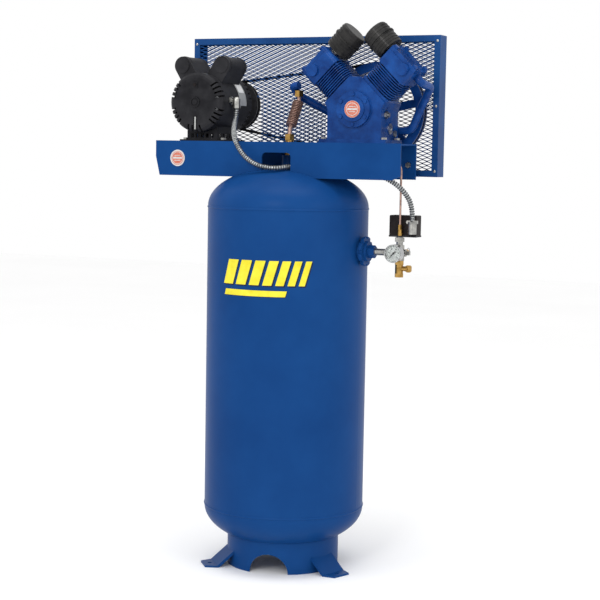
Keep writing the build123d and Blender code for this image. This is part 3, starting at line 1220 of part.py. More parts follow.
# ---------------------------------------------------------------- wiring conduit
def wiring_conduit():
    """Flexible steel conduit from the motor to the pressure switch, through the apron's notch."""
    radii = widest_arcs(CONDUIT_ROUTE)
    length = FilletPolyline(*CONDUIT_ROUTE, radius=radii).length
    tube = round_tube(CONDUIT_ROUTE, radii, CONDUIT_RADIUS)
    excess = tube.volume / (math.pi * CONDUIT_RADIUS ** 2 * length) - 1
    print("conduit arc radii:", [round(radius) for radius in radii])
    print("conduit length:", round(length), "volume error:", round(excess, 5))
    return tube


def motor_elbow():
    """Elbow that turns the conduit down beside the motor."""
    centre = (CONNECTOR_X, CONNECTOR_Y, CONNECTOR_Z)
    frame_side = MOTOR_X + MOTOR_RADIUS
    elbow = bar((frame_side - MOTOR_WALL, CONNECTOR_Y, CONNECTOR_Z), (1, 0, 0), 9, CONNECTOR_REACH + MOTOR_WALL)
    elbow += bar((frame_side + 1, CONNECTOR_Y, CONNECTOR_Z), (1, 0, 0), CONNECTOR_RADIUS, 5)
    elbow += Pos(*centre) * Sphere(CONNECTOR_RADIUS)
    elbow += bar(centre, (0, 0, -1), CONNECTOR_RADIUS, CONNECTOR_SOCKET + 6)
    socket = (CONNECTOR_X, CONNECTOR_Y, CONNECTOR_Z - CONNECTOR_SOCKET)
    elbow -= bar(socket, (0, 0, -1), CONDUIT_RADIUS, 2 * CONDUIT_RADIUS)
    return elbow - motor_disc(MOTOR_RADIUS, MOTOR_FRAME_FRONT, MOTOR_FRAME_BACK)


def switch_clamp():
    """Two-screw clamp connector on the front of the pressure switch."""
    x, y = SWITCH_CONNECTOR_X, SWITCH_CONNECTOR_Y
    seat = SWITCH_BOTTOM + CLAMP_RISE
    clamp = bar((x, y, SWITCH_BOTTOM + 10), (0, 0, 1), CONNECTOR_RADIUS, 38)
    clamp += bar((x - 4, SWITCH_FRONT, SWITCH_BOTTOM + 24), (0, -1, 0), 9, CLAMP_REACH)
    clamp += block((x - 16, x + 16), (y - 7, y + 7), (seat - 4, seat + 6))
    clamp -= bar((x, y, seat), (0, 0, 1), CONDUIT_RADIUS, 20)
    for side in (LEFT, RIGHT):
        clamp += bar((x + side * CONNECTOR_RADIUS, y - 7, seat + 1), (0, -1, 0), 3.5, 3)
    return clamp


def conduit_connectors():
    return group(motor_elbow(), switch_clamp())


# ---------------------------------------------------------------- air controls
def pressure_manifold():
    """Galvanised cross on the side nipple, with the switch nipple above and a square plug."""
    centre = (MANIFOLD_X, 0, SIDE_PORT_Z)
    cross = bar((MANIFOLD_X, 0, VALVE_TOP), (0, 0, 1), MANIFOLD_RADIUS, 2 * MANIFOLD_HALF_HEIGHT)
    cross += bar(centre, (-1, 0, 0), MANIFOLD_RADIUS - 1, CROSS_REACH)
    cross += bar(centre, (1, 0, 0), MANIFOLD_RADIUS - 4, CROSS_REACH)
    cross += bar(centre, (0, -1, 0), MANIFOLD_RADIUS - 3, CROSS_REACH)
    cross += bar(centre, (0, 1, 0), MANIFOLD_RADIUS - 3, CROSS_REACH)
    cross -= bar((MANIFOLD_X, 0, VALVE_TOP), (0, 0, 1), CROSS_BORE, 2 * MANIFOLD_HALF_HEIGHT)
    for direction in ((-1, 0, 0), (1, 0, 0), (0, -1, 0), (0, 1, 0)):
        cross -= bar(centre, direction, CROSS_BORE, 2 * CROSS_REACH)
    nipple_end = MANIFOLD_X - CROSS_REACH
    nipple_start = TANK_RADIUS - TANK_WALL
    side_nipple = bar((nipple_start, 0, SIDE_PORT_Z), (1, 0, 0), NIPPLE_RADIUS, nipple_end - nipple_start,
                      CROSS_BORE + 1)
    riser = bar((MANIFOLD_X, 0, MANIFOLD_TOP), (0, 0, 1), NIPPLE_RADIUS, SWITCH_NIPPLE, CROSS_BORE)
    riser += hexagon((MANIFOLD_X, 0, SWITCH_BOTTOM - 16), (0, 0, 1), NIPPLE_RADIUS + 5, 13, CROSS_BORE)
    plug = block((MANIFOLD_X + CROSS_REACH, MANIFOLD_X + CROSS_REACH + 12), (-6, 6),
                 (SIDE_PORT_Z - 6, SIDE_PORT_Z + 6))
    return group(cross, side_nipple, riser, plug)


def gauge_body():
    """Steel gauge case with a deep dish, its dial plate and its stem."""
    back = -GAUGE_STANDOFF
    front = back - GAUGE_DEPTH
    place = (MANIFOLD_X, back, SIDE_PORT_Z)
    case = bar(place, (0, -1, 0), GAUGE_RADIUS, GAUGE_DEPTH)
    case -= bar((MANIFOLD_X, front - 1, SIDE_PORT_Z), (0, 1, 0), GAUGE_RADIUS - 2, DIAL_DEPTH + 1)
    case += bar((MANIFOLD_X, -CROSS_REACH, SIDE_PORT_Z), (0, -1, 0), 9, GAUGE_STANDOFF - CROSS_REACH)
    case -= bar((MANIFOLD_X, front + DIAL_DEPTH - 1, SIDE_PORT_Z), (0, 1, 0), NEEDLE_PIN + RUNNING_FIT, 6)
    return case


def gauge_needle():
    """Pointer on its pin, at rest at the bottom left of the dial."""
    front = -GAUGE_STANDOFF - GAUGE_DEPTH
    pointer = make_face(Polyline((0, 1.6), (GAUGE_RADIUS - 7, 0.5), (GAUGE_RADIUS - 7, -0.5), (0, -1.6),
                                 (-9, -2.0), (-9, 2.0), close=True))
    pointer += Circle(3)
    blade = Pos(MANIFOLD_X, SIDE_PORT_Z) * Rot(0, 0, NEEDLE_REST) * pointer
    pin_start = (MANIFOLD_X, front + 4.5, SIDE_PORT_Z)
    return slab(blade, front + 4.5, front + 5.5) + bar(pin_start, (0, 1, 0), NEEDLE_PIN, 7)


def gauge_lens():
    front = -GAUGE_STANDOFF - GAUGE_DEPTH
    return bar((MANIFOLD_X, front, SIDE_PORT_Z), (0, 1, 0), GAUGE_RADIUS - 2, 2)


def pressure_switch_base():
    """Steel base plate with the diaphragm cup below it and the contact block on it."""
    x = (SWITCH_LEFT, SWITCH_LEFT + SWITCH_WIDTH)
    y = (SWITCH_FRONT, -SWITCH_FRONT)
    base = block(x, y, (SWITCH_BOTTOM, SWITCH_BOTTOM + SWITCH_PLATE))
    block_x = (SWITCH_X - 28, SWITCH_X + 28)
    base += block(block_x, (SWITCH_FRONT + 8, -SWITCH_FRONT - 8), (SWITCH_BOTTOM, SWITCH_BOTTOM + 36))
    return base


def pressure_switch_cover():
    """Black cover, open below, with a rounded top edge and a hole for the lever's pin."""
    x = (SWITCH_LEFT, SWITCH_LEFT + SWITCH_WIDTH)
    y = (SWITCH_FRONT, -SWITCH_FRONT)
    cover = block(x, y, (SWITCH_BOTTOM + SWITCH_PLATE, SWITCH_TOP))
    cover = fillet(cover.edges().filter_by(Axis.Z), 5)
    cover = fillet(cover.faces().sort_by(Axis.Z)[-1].edges(), 3)
    cover -= block((x[0] + SWITCH_WALL, x[1] - SWITCH_WALL), (y[0] + SWITCH_WALL, y[1] - SWITCH_WALL),
                   (SWITCH_BOTTOM, SWITCH_TOP - SWITCH_WALL))
    cover -= bar((SWITCH_X, -SWITCH_FRONT + 1, LEVER_Z), (0, -1, 0), LEVER_PIN + RUNNING_FIT, 2 * SWITCH_WALL)
    entry = (SWITCH_LEFT + POWER_ENTRY_INSET, 1 - SWITCH_FRONT, SWITCH_BOTTOM + POWER_ENTRY_RISE)
    cover -= bar(entry, (0, -1, 0), POWER_ENTRY_RADIUS, 2 * SWITCH_WALL)
    return cover


def switch_lever():
    """On-off lever on the rear of the switch, on a pin through the cover."""
    pin = bar((SWITCH_X, -SWITCH_FRONT - 5, LEVER_Z), (0, 1, 0), LEVER_PIN, 10)
    arm_y = (-SWITCH_FRONT + FREE_GAP, -SWITCH_FRONT + 4)
    arm = block((SWITCH_X - 4, SWITCH_X + 4), arm_y, (LEVER_Z - 5, LEVER_Z + 26))
    knob = block((SWITCH_X - 6, SWITCH_X + 6), (arm_y[0], arm_y[1] + 8), (LEVER_Z + 18, LEVER_Z + 26))
    return pin + arm + knob


def outlet_valve_body():
    """Brass ball valve below the manifold, with a hexagon at each end."""
    down = (0, 0, -1)
    body = hexagon((MANIFOLD_X, 0, VALVE_TOP), down, 14.5, 12)
    body += bar((MANIFOLD_X, 0, VALVE_TOP - 12), down, 12.5, VALVE_LENGTH - 24)
    body += hexagon((MANIFOLD_X, 0, VALVE_TOP - VALVE_LENGTH + 12), down, 14, 12)
    body += bar((MANIFOLD_X, 0, VALVE_STEM_Z), (1, 0, 0), 7.5, 18)
    body -= bar((MANIFOLD_X, 0, VALVE_TOP), down, VALVE_OUTLET_RADIUS - 2, VALVE_LENGTH)
    body -= bar((MANIFOLD_X, 0, VALVE_TOP - VALVE_LENGTH), (0, 0, 1), VALVE_OUTLET_RADIUS, VALVE_OUTLET_DEPTH)
    body -= bar((MANIFOLD_X + 8, 0, VALVE_STEM_Z), (1, 0, 0), VALVE_STEM_RADIUS + RUNNING_FIT, 12)
    return body


def outlet_valve_handle():
    """Brass wing handle on the valve's stem."""
    stem = bar((MANIFOLD_X + 9, 0, VALVE_STEM_Z), (1, 0, 0), VALVE_STEM_RADIUS, 14)
    hub = bar((MANIFOLD_X + 18 + FREE_GAP, 0, VALVE_STEM_Z), (1, 0, 0), 8, 10)
    wing = block((MANIFOLD_X + 22, MANIFOLD_X + 40), (-4, 4), (VALVE_STEM_Z - 11, VALVE_STEM_Z + 11))
    wing = fillet(wing.edges().filter_by(Axis.Y), 6)
    return stem + hub + wing


def safety_valve_body():
    """Brass safety valve on the back of the manifold."""
    start = (MANIFOLD_X, CROSS_REACH, SIDE_PORT_Z)
    body = hexagon(start, (0, 1, 0), 12, 12)
    body += bar((MANIFOLD_X, CROSS_REACH + 12, SIDE_PORT_Z), (0, 1, 0), 8.5, SAFETY_REACH - 12)
    cap = (MANIFOLD_X, CROSS_REACH + SAFETY_REACH, SIDE_PORT_Z)
    body -= bar(cap, (0, -1, 0), SAFETY_STEM + RUNNING_FIT, 22)
    for angle in (0, 90, 180, 270):
        turn = math.radians(angle)
        body -= bar((MANIFOLD_X, CROSS_REACH + 26, SIDE_PORT_Z), (math.cos(turn), 0, math.sin(turn)), 2, 12)
    return body


def safety_valve_ring():
    """Pull ring on the safety valve's stem."""
    end = CROSS_REACH + SAFETY_REACH
    stem = bar((MANIFOLD_X, end - 16, SIDE_PORT_Z), (0, 1, 0), SAFETY_STEM, 20)
    ring = Pos(MANIFOLD_X, end + 14, SIDE_PORT_Z) * Rot(0, 90, 0) * Torus(11, 1.4)
    return stem + ring


# ---------------------------------------------------------------- build
def build_nodes():
    return {
        "tank_shell": tank_shell(),
        "tank_top_head": tank_top_head(),
        "tank_bottom_head": tank_bottom_head(),
        "tank_couplings": tank_couplings(),
        "tank_side_flange": tank_side_flange(),
        "base_skirt": base_skirt(),
        "mounting_feet": mounting_feet(),
        "drain_valve_body": drain_valve_body(),
        "drain_valve_handle": drain_valve_handle(),
        "deck_channel": deck_channel(),
        "hex_bolts": hex_bolts(),
        "round_badges": round_badges(),
        "guard_frame": guard_frame(),
        "guard_mesh_panels": guard_mesh_panels(),
        "flywheel": flywheel(),
        "motor_pulley": motor_pulley(),
        "drive_belt": drive_belt(),
        "motor_frame": motor_frame(),
        "motor_front_bell": motor_front_bell(),
        "motor_rear_bell": motor_rear_bell(),
        "reset_button": reset_button(),
        "motor_stator": motor_stator(),
        "motor_rotor": motor_rotor(),
        "capacitor_covers": capacitor_covers(),
        "motor_capacitors": motor_capacitors(),
        "shaft_bearings": shaft_bearings(),
        "crankcase": crankcase(),
        "front_bearing_cover": front_bearing_cover(),
        "crankshaft": crankshaft(),
        "cylinder_left": cylinder_barrel(LEFT),
        "cylinder_right": cylinder_barrel(RIGHT),
        "valve_plates": valve_plates(),
        "head_left": cylinder_head(LEFT),
        "head_right": cylinder_head(RIGHT),
        "pump_bolts": pump_bolts(),
        "piston_left": piston(LEFT),
        "piston_right": piston(RIGHT),
        "intake_nipples": intake_nipples(),
        "filter_housings": filter_housings(),
        "filter_elements": filter_elements(),
        "oil_sight_glass": oil_sight_glass(),
        "crankcase_plugs": crankcase_plugs(),
        "discharge_manifold": discharge_manifold(),
        "aftercooler_tube": aftercooler_tube(),
        "brass_nuts": brass_nuts(),
        "check_valve": check_valve(),
        "unloader_tube": unloader_tube(),
        "wiring_conduit": wiring_conduit(),
        "conduit_connectors": conduit_connectors(),
        "pressure_manifold": pressure_manifold(),
        "gauge_body": gauge_body(),
        "gauge_needle": gauge_needle(),
        "gauge_lens": gauge_lens(),
        "pressure_switch_base": pressure_switch_base(),
        "pressure_switch_cover": pressure_switch_cover(),
        "switch_lever": switch_lever(),
        "outlet_valve_body": outlet_valve_body(),
        "outlet_valve_handle": outlet_valve_handle(),
        "safety_valve_body": safety_valve_body(),
        "safety_valve_ring": safety_valve_ring(),
    }


for name, shape in build_nodes().items():
    export_step(shape, f"parts/{name}.step")
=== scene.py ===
import json
import math

import bpy
from mathutils import Matrix, Vector


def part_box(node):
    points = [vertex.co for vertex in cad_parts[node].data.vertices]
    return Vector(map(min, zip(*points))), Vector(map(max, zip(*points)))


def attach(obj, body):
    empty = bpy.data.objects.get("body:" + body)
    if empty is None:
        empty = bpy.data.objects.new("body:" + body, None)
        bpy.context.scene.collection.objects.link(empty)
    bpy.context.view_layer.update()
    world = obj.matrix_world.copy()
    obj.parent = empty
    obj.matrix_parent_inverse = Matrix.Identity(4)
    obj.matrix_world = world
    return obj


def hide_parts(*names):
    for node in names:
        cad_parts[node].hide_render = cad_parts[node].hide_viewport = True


# Looks of a vertical tank air compressor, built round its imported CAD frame.
# Metres, Z up, the front is -Y.

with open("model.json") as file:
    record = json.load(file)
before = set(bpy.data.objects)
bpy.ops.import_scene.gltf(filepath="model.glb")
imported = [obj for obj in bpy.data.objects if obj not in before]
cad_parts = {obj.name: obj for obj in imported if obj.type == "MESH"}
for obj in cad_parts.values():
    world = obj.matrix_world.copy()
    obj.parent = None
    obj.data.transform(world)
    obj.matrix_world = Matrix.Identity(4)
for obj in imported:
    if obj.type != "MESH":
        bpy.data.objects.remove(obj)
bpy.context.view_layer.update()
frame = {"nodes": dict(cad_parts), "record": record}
NODES = frame["nodes"]
ROOT = "compressor_frame"

# ---------------------------------------------------------------- camera
CAMERA_AZIMUTH = 25.413
CAMERA_DISTANCE = 5.001
CAMERA_HEIGHT = 1.3051
CAMERA_YAW = 0.48
CAMERA_PITCH = 5.25
CAMERA_ROLL = 1.01
CAMERA_LENS = 94.717


def add_camera():
    """Camera in front of the tank, a little to its right, at the height of the gauge."""
    data = bpy.data.cameras.new("camera")
    data.lens = CAMERA_LENS
    camera = bpy.data.objects.new("camera", data)
    turn = math.radians(CAMERA_AZIMUTH)
    camera.location = (math.sin(turn) * CAMERA_DISTANCE, -math.cos(turn) * CAMERA_DISTANCE, CAMERA_HEIGHT)
    aim = Matrix.Rotation(turn - math.radians(CAMERA_YAW), 4, "Z")
    aim @= Matrix.Rotation(math.radians(90 - CAMERA_PITCH), 4, "X")
    aim @= Matrix.Rotation(math.radians(CAMERA_ROLL), 4, "Z")
    camera.rotation_euler = aim.to_euler()
    bpy.context.collection.objects.link(camera)
    bpy.context.scene.camera = camera


add_camera()


# ---------------------------------------------------------------- lights and world
def area_light(name, place, target, size, power):
    data = bpy.data.lights.new(name, "AREA")
    data.shape = "RECTANGLE"
    data.size, data.size_y = size
    data.energy = power
    light = bpy.data.objects.new(name, data)
    light.location = place
    light.rotation_euler = (Vector(target) - Vector(place)).to_track_quat("-Z", "Y").to_euler()
    bpy.context.collection.objects.link(light)


def add_studio():
    """White room: a bright world and three soft boxes."""
    world = bpy.data.worlds.new("studio")
    world.use_nodes = True
    background = world.node_tree.nodes["Background"]
    background.inputs["Color"].default_value = (1, 1, 1, 1)
    background.inputs["Strength"].default_value = 1.0
    bpy.context.scene.world = world
    bpy.context.scene.view_settings.view_transform = "Standard"
    area_light("key", (0.4, -4.4, 3.0), (0, 0, 0.9), (1.2, 1.8), 55)
    area_light("side", (3.8, -1.6, 2.2), (0, 0, 1.2), (0.7, 2.2), 14)
    area_light("over", (0.2, -0.6, 4.2), (0, 0, 1.2), (2.2, 1.4), 35)


add_studio()


# ---------------------------------------------------------------- mesh helpers
def mesh_piece(name, vertices, faces, material, body=ROOT, slot=None, smooth=False):
    """Object from lists of points and faces that rides on a body."""
    mesh = bpy.data.meshes.new(name)
    mesh.from_pydata([tuple(v) for v in vertices], [], faces)
    mesh.validate()
    mesh.update()
    if smooth:
        mesh.polygons.foreach_set("use_smooth", [True] * len(mesh.polygons))
    mesh.materials.append(material)
    piece = bpy.data.objects.new(name, mesh)
    bpy.context.collection.objects.link(piece)
    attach(piece, body)
    return piece


class Shape:
    """Points and faces gathered from several simple parts."""

    def __init__(self):
        self.points = []
        self.faces = []

    def add(self, points, faces):
        start = len(self.points)
        self.points.extend(Vector(p) for p in points)
        self.faces.extend(tuple(start + i for i in face) for face in faces)

    def lathe(self, profile, place, direction, steps=48):
        """Profile of (radius, height) pairs turned round an axis; a profile that ends where it starts
        makes a ring, and any other is closed by flat ends."""
        turn = Vector(direction).to_track_quat("Z", "Y")
        points = []
        for radius, height in profile:
            for index in range(steps):
                angle = 2 * math.pi * index / steps
                spot = Vector((radius * math.cos(angle), radius * math.sin(angle), height))
                points.append(Vector(place) + turn @ spot)
        faces = []
        for row in range(len(profile) - 1):
            for index in range(steps):
                after = (index + 1) % steps
                faces.append((row * steps + index, row * steps + after,
                              (row + 1) * steps + after, (row + 1) * steps + index))
        self.add(points, faces)
        start = len(self.points) - len(points)
        closed = profile[0] == profile[-1]
        for row, forward in ((0, False), (len(profile) - 1, True)):
            if profile[row][0] > 0 and not closed:
                ring = [start + row * steps + index for index in range(steps)]
                self.faces.append(tuple(ring if forward else reversed(ring)))

    def ribbon(self, line, across, depth):
        """Bar with a rectangular section along a line; across and depth are half sizes as vectors."""
        points = []
        for spot in line:
            points.extend((spot - across - depth, spot + across - depth, spot + across + depth,
                           spot - across + depth))
        faces = []
        for index in range(len(line) - 1):
            base = 4 * index
            for side in range(4):
                after = (side + 1) % 4
                faces.append((base + side, base + after, base + 4 + after, base + 4 + side))
        last = 4 * (len(line) - 1)
        faces.append((3, 2, 1, 0))
        faces.append((last, last + 1, last + 2, last + 3))
        self.add(points, faces)

    def make(self, name, material, **facts):
        return mesh_piece(name, self.points, self.faces, material, **facts)


# ---------------------------------------------------------------- materials
def tone(red, green, blue):
    """Scene colour from a picture colour given in 0 to 255."""
    return tuple((c / 255 / 12.92) if c / 255 <= 0.04045 else ((c / 255 + 0.055) / 1.055) ** 2.4
                 for c in (red, green, blue)) + (1.0,)


def noise(nodes, links, coords, scale, detail=3.0, rough=0.5, stretch=None):
    source = nodes.new("ShaderNodeTexNoise")
    source.inputs["Scale"].default_value = scale
    source.inputs["Detail"].default_value = detail
    source.inputs["Roughness"].default_value = rough
    if stretch:
        mapping = nodes.new("ShaderNodeMapping")
        mapping.inputs["Scale"].default_value = stretch
        links.new(coords.outputs["Object"], mapping.inputs["Vector"])
        links.new(mapping.outputs["Vector"], source.inputs["Vector"])
    else:
        links.new(coords.outputs["Object"], source.inputs["Vector"])
    return source


def surface(name, dark, light, rough, metallic=0.0, coat=0.0, patch=5.0, grain=300.0, depth=0.00005,
            rough_spread=0.06, stretch=None, painted_gap_shade=None, specular=0.08):
    """Material that drifts between two close tones, with a fine grain and uneven gloss, and optional dark
    flecks of painted shade.
    """
    material = bpy.data.materials.new(name)
    material.use_nodes = True
    nodes, links = material.node_tree.nodes, material.node_tree.links
    shader = nodes["Principled BSDF"]
    shader.inputs["Metallic"].default_value = metallic
    shader.inputs["Coat Weight"].default_value = coat
    shader.inputs["Coat Roughness"].default_value = 0.12
    shader.inputs["Specular IOR Level"].default_value = 0.5 if metallic else specular
    coords = nodes.new("ShaderNodeTexCoord")
    drift = noise(nodes, links, coords, patch, 5.0, 0.6, stretch)
    ramp = nodes.new("ShaderNodeValToRGB")
    ramp.color_ramp.elements[0].position = 0.3
    ramp.color_ramp.elements[0].color = dark
    ramp.color_ramp.elements[1].position = 0.7
    ramp.color_ramp.elements[1].color = light
    links.new(drift.outputs["Fac"], ramp.inputs["Fac"])
    colour = ramp.outputs["Color"]
    # Dark flecks mixed into the colour: painted shade standing in for the dark gaps between fins.
    if painted_gap_shade:
        gap_shade_colour, spot_scale, spot_edge = painted_gap_shade
        dots = noise(nodes, links, coords, spot_scale, 6.0, 0.7)
        gap_shade_mask = nodes.new("ShaderNodeMapRange")
        gap_shade_mask.inputs["From Min"].default_value = spot_edge
        gap_shade_mask.inputs["From Max"].default_value = spot_edge + 0.06
        links.new(dots.outputs["Fac"], gap_shade_mask.inputs["Value"])
        mix = nodes.new("ShaderNodeMix")
        mix.data_type = "RGBA"
        links.new(gap_shade_mask.outputs["Result"], mix.inputs["Factor"])
        links.new(colour, mix.inputs["A"])
        mix.inputs["B"].default_value = gap_shade_colour
        colour = mix.outputs["Result"]
    links.new(colour, shader.inputs["Base Color"])
    fine = noise(nodes, links, coords, grain, 4.0, 0.55, stretch)
    gloss = nodes.new("ShaderNodeMapRange")
    gloss.inputs["To Min"].default_value = max(0.02, rough - rough_spread)
    gloss.inputs["To Max"].default_value = rough + rough_spread
    links.new(drift.outputs["Fac"], gloss.inputs["Value"])
    links.new(gloss.outputs["Result"], shader.inputs["Roughness"])
    bump = nodes.new("ShaderNodeBump")
    bump.inputs["Strength"].default_value = 1.0
    bump.inputs["Distance"].default_value = depth
    links.new(fine.outputs["Fac"], bump.inputs["Height"])
    links.new(bump.outputs["Normal"], shader.inputs["Normal"])
    return material


MATERIALS = {
    "receiver_paint": surface("receiver_paint", tone(13, 56, 111), tone(20, 67, 125), 0.36, patch=3.0,
                              grain=160.0, depth=0.00012, specular=0.05),
    "deck_paint": surface("deck_paint", tone(12, 57, 112), tone(18, 67, 126), 0.42, patch=6.0, grain=320.0,
                          depth=0.00006, specular=0.05),
    "guard_paint": surface("guard_paint", tone(14, 54, 106), tone(26, 72, 128), 0.42, coat=0.03, patch=9.0,
                           grain=420.0, depth=0.00006),
    "pump_paint": surface("pump_paint", tone(6, 42, 100), tone(22, 72, 142), 0.3, coat=0.12, patch=22.0,
                          grain=620.0, depth=0.0004, rough_spread=0.1),
    "motor_paint": surface("motor_paint", tone(26, 26, 29), tone(50, 50, 53), 0.45, patch=14.0,
                           grain=700.0, depth=0.0002, rough_spread=0.1),
    "zinc_steel": surface("zinc_steel", tone(128, 128, 126), tone(190, 189, 184), 0.33, metallic=1.0,
                          patch=60.0, grain=900.0, depth=0.00012, rough_spread=0.12),
    "bright_steel": surface("bright_steel", tone(150, 151, 153), tone(196, 197, 199), 0.24, metallic=1.0,
                            patch=30.0, grain=1200.0, depth=0.00004, stretch=(1, 8, 1)),
    "cast_iron": surface("cast_iron", tone(40, 40, 43), tone(72, 71, 73), 0.55, metallic=0.6,
                         patch=30.0, grain=700.0, depth=0.0003),
    "aluminium": surface("aluminium", tone(160, 162, 164), tone(206, 206, 206), 0.32, metallic=1.0,
                         patch=40.0, grain=1000.0, depth=0.00005),
    "brass": surface("brass", tone(142, 108, 54), tone(200, 162, 94), 0.3, metallic=1.0, patch=70.0,
                     grain=900.0, depth=0.00008, rough_spread=0.12),
    # The copper's dark flecks are painted shade for the gaps between the aftercooler's fins.
    "copper": surface("copper", tone(136, 106, 96), tone(196, 162, 148), 0.45, metallic=0.6, patch=60.0,
                      grain=900.0, depth=0.0001, rough_spread=0.12, painted_gap_shade=(tone(70, 56, 54), 130.0, 0.56)),
    "badge_metal": surface("badge_metal", tone(196, 196, 196), tone(232, 230, 228), 0.3, metallic=0.8,
                           patch=120.0, grain=700.0, depth=0.00005),
    "belt_rubber": surface("belt_rubber", tone(18, 18, 20), tone(34, 34, 36), 0.7, patch=40.0, grain=900.0,
                           depth=0.0002),
    "black_plastic": surface("black_plastic", tone(20, 17, 18), tone(38, 33, 33), 0.46, patch=30.0,
                             grain=1200.0, depth=0.00015),
    "filter_black": surface("filter_black", tone(26, 26, 27), tone(56, 55, 54), 0.42, patch=26.0,
                            grain=800.0, depth=0.0002, coat=0.1),
    "red_plastic": surface("red_plastic", tone(150, 20, 16), tone(186, 34, 26), 0.35, patch=60.0,
                           grain=900.0, depth=0.00005, coat=0.2),
    "needle_black": surface("needle_black", tone(8, 8, 8), tone(20, 20, 20), 0.5, patch=200.0,
                            grain=900.0, depth=0.00002),
    "filter_paper": surface("filter_paper", tone(196, 178, 130), tone(224, 208, 164), 0.8, patch=60.0,
                            grain=500.0, depth=0.0003),
    "conduit_steel": surface("conduit_steel", tone(146, 149, 150), tone(204, 206, 206), 0.34, metallic=1.0,
                             patch=90.0, grain=900.0, depth=0.0001, rough_spread=0.1),
}

copper_ink = surface("copper_ink", tone(176, 84, 66), tone(222, 142, 120), 0.4, metallic=0.35, patch=160.0,
                     grain=700.0, depth=0.00004)
plate_white = surface("plate_white", tone(224, 225, 224), tone(240, 240, 238), 0.5, patch=60.0, grain=800.0,
                      depth=0.00002)
plate_grey = surface("plate_grey", tone(158, 160, 160), tone(192, 193, 190), 0.42, metallic=0.5, patch=60.0,
                     grain=800.0, depth=0.00003, stretch=(1, 6, 1))
# Darker, duller steel for the conduit's grooves: painted shade in the creases between turns.
conduit_groove_painted_shade = surface("conduit_groove_painted_shade", tone(54, 56, 58), tone(92, 94, 96), 0.55, metallic=0.6, patch=90.0,
                         grain=900.0, depth=0.0001)
# Dark print for the gauge's scale, also used as painted shade for the recess round the motor bell's strip.
dark_ink_and_painted_shade = surface("dark_ink_and_painted_shade", tone(18, 18, 20), tone(34, 34, 36), 0.5, patch=90.0, grain=600.0,
                   depth=0.00002)


def clear_glass():
    """Clear window with a faint unevenness."""
    material = surface("clear_glass", tone(244, 250, 248), tone(255, 255, 255), 0.05, patch=80.0,
                       grain=60.0, depth=0.00002, rough_spread=0.02)
    shader = material.node_tree.nodes["Principled BSDF"]
    shader.inputs["Transmission Weight"].default_value = 1.0
    shader.inputs["IOR"].default_value = 1.45
    return material


MATERIALS["clear_glass"] = clear_glass()


def finish_cad_nodes():
    """Each carried-over CAD node takes the material of its slot."""
    for row in frame["record"]["subparts"]:
        piece = NODES[row["node"]]
        finish = MATERIALS[row["material_slot"]]
        if not piece.material_slots:
            piece.data.materials.append(finish)
        for slot in piece.material_slots:
            slot.material = finish


finish_cad_nodes()


# ---------------------------------------------------------------- belt guard mesh
DIAMOND_LENGTH = 0.0305
DIAMOND_HEIGHT = 0.0127
STRAND_HALF = 0.00135
STRAND_THICK = 0.0005
STRAND_LEAN = 0.0008
BOND_HALF = 0.0022

# Centre x, centre z and radius of the front panel's two openings.
FLYWHEEL_OPENING = (0.225, 1.448, 0.166)
PULLEY_OPENING = (-0.285, 1.466, 0.089)


def in_front_opening(x, z):
    """True inside the front panel's openings round the flywheel and the motor pulley."""
    crank_x, crank_z, crank_r = FLYWHEEL_OPENING
    motor_x, motor_z, motor_r = PULLEY_OPENING
    if math.hypot(x - crank_x, z - crank_z) < crank_r or (x > crank_x - crank_r and z < crank_z):
        return True
    return math.hypot(x - motor_x, z - motor_z) < motor_r or (abs(x - motor_x) < motor_r and z < motor_z)


def strand_row(shape, low, high, y, row, front):
    """One zigzag strand, from bond to bond across the panel, broken at the openings."""
    rise = DIAMOND_HEIGHT / 4 - STRAND_HALF
    z = low.z + (row + 0.5) * DIAMOND_HEIGHT / 2
    count = int((high.x - low.x) / (DIAMOND_LENGTH / 2))
    margin = ((high.x - low.x) - count * DIAMOND_LENGTH / 2) / 2
    runs = [[]]
    for index in range(count + 1):
        level = z + rise * (1 if (row + index) % 2 else -1)
        x = low.x + margin + index * DIAMOND_LENGTH / 2
        if front and in_front_opening(x, z):
            runs.append([])
            continue
        runs[-1].append(Vector((max(x - BOND_HALF, low.x), y, level)))
        runs[-1].append(Vector((min(x + BOND_HALF, high.x), y, level)))
    lean = Vector((0, STRAND_LEAN, STRAND_HALF))
    for line in runs:
        if line:
            shape.ribbon(line, lean, Vector((0, STRAND_THICK, 0)))


def guard_mesh():
    """Expanded-metal panels at the front and at the back of the guard."""
    low, high = (Vector(corner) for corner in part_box("guard_mesh_panels"))
    shape = Shape()
    rows = int((high.z - low.z) / (DIAMOND_HEIGHT / 2)) - 1
    reach = STRAND_LEAN + STRAND_THICK
    for y, front in ((low.y + reach, True), (high.y - reach, False)):
        for row in range(rows):
            strand_row(shape, low, high, y, row, front)
    panels = shape.make("guard_mesh", MATERIALS["guard_paint"], slot="guard_paint")
    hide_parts("guard_mesh_panels")


guard_mesh()


# ---------------------------------------------------------------- wiring conduit
CONDUIT_POINTS = [
    (-0.170, -0.038, 1.455), (-0.170, -0.038, 1.430), (-0.167, -0.052, 1.404), (-0.155, -0.084, 1.381),
    (-0.128, -0.129, 1.350), (-0.102, -0.142, 1.314), (-0.072, -0.145, 1.287), (-0.036, -0.143, 1.269),
    (0.000, -0.139, 1.2635), (0.028, -0.128, 1.264), (0.052, -0.092, 1.270), (0.104, -0.089, 1.272),
    (0.162, -0.092, 1.271), (0.220, -0.093, 1.267), (0.276, -0.091, 1.261), (0.328, -0.086, 1.252),
    (0.380, -0.074, 1.232), (0.416, -0.056, 1.198), (0.4345, -0.038, 1.154), (0.4345, -0.038, 1.107),
]
CONDUIT_RADIUS = 0.008
RIB_PITCH = 0.0072
RIB_DEPTH = 0.0022
RIB_SECTION = ((0.0, 1.0), (0.18, 0.0), (0.62, 0.0), (0.8, 1.0))


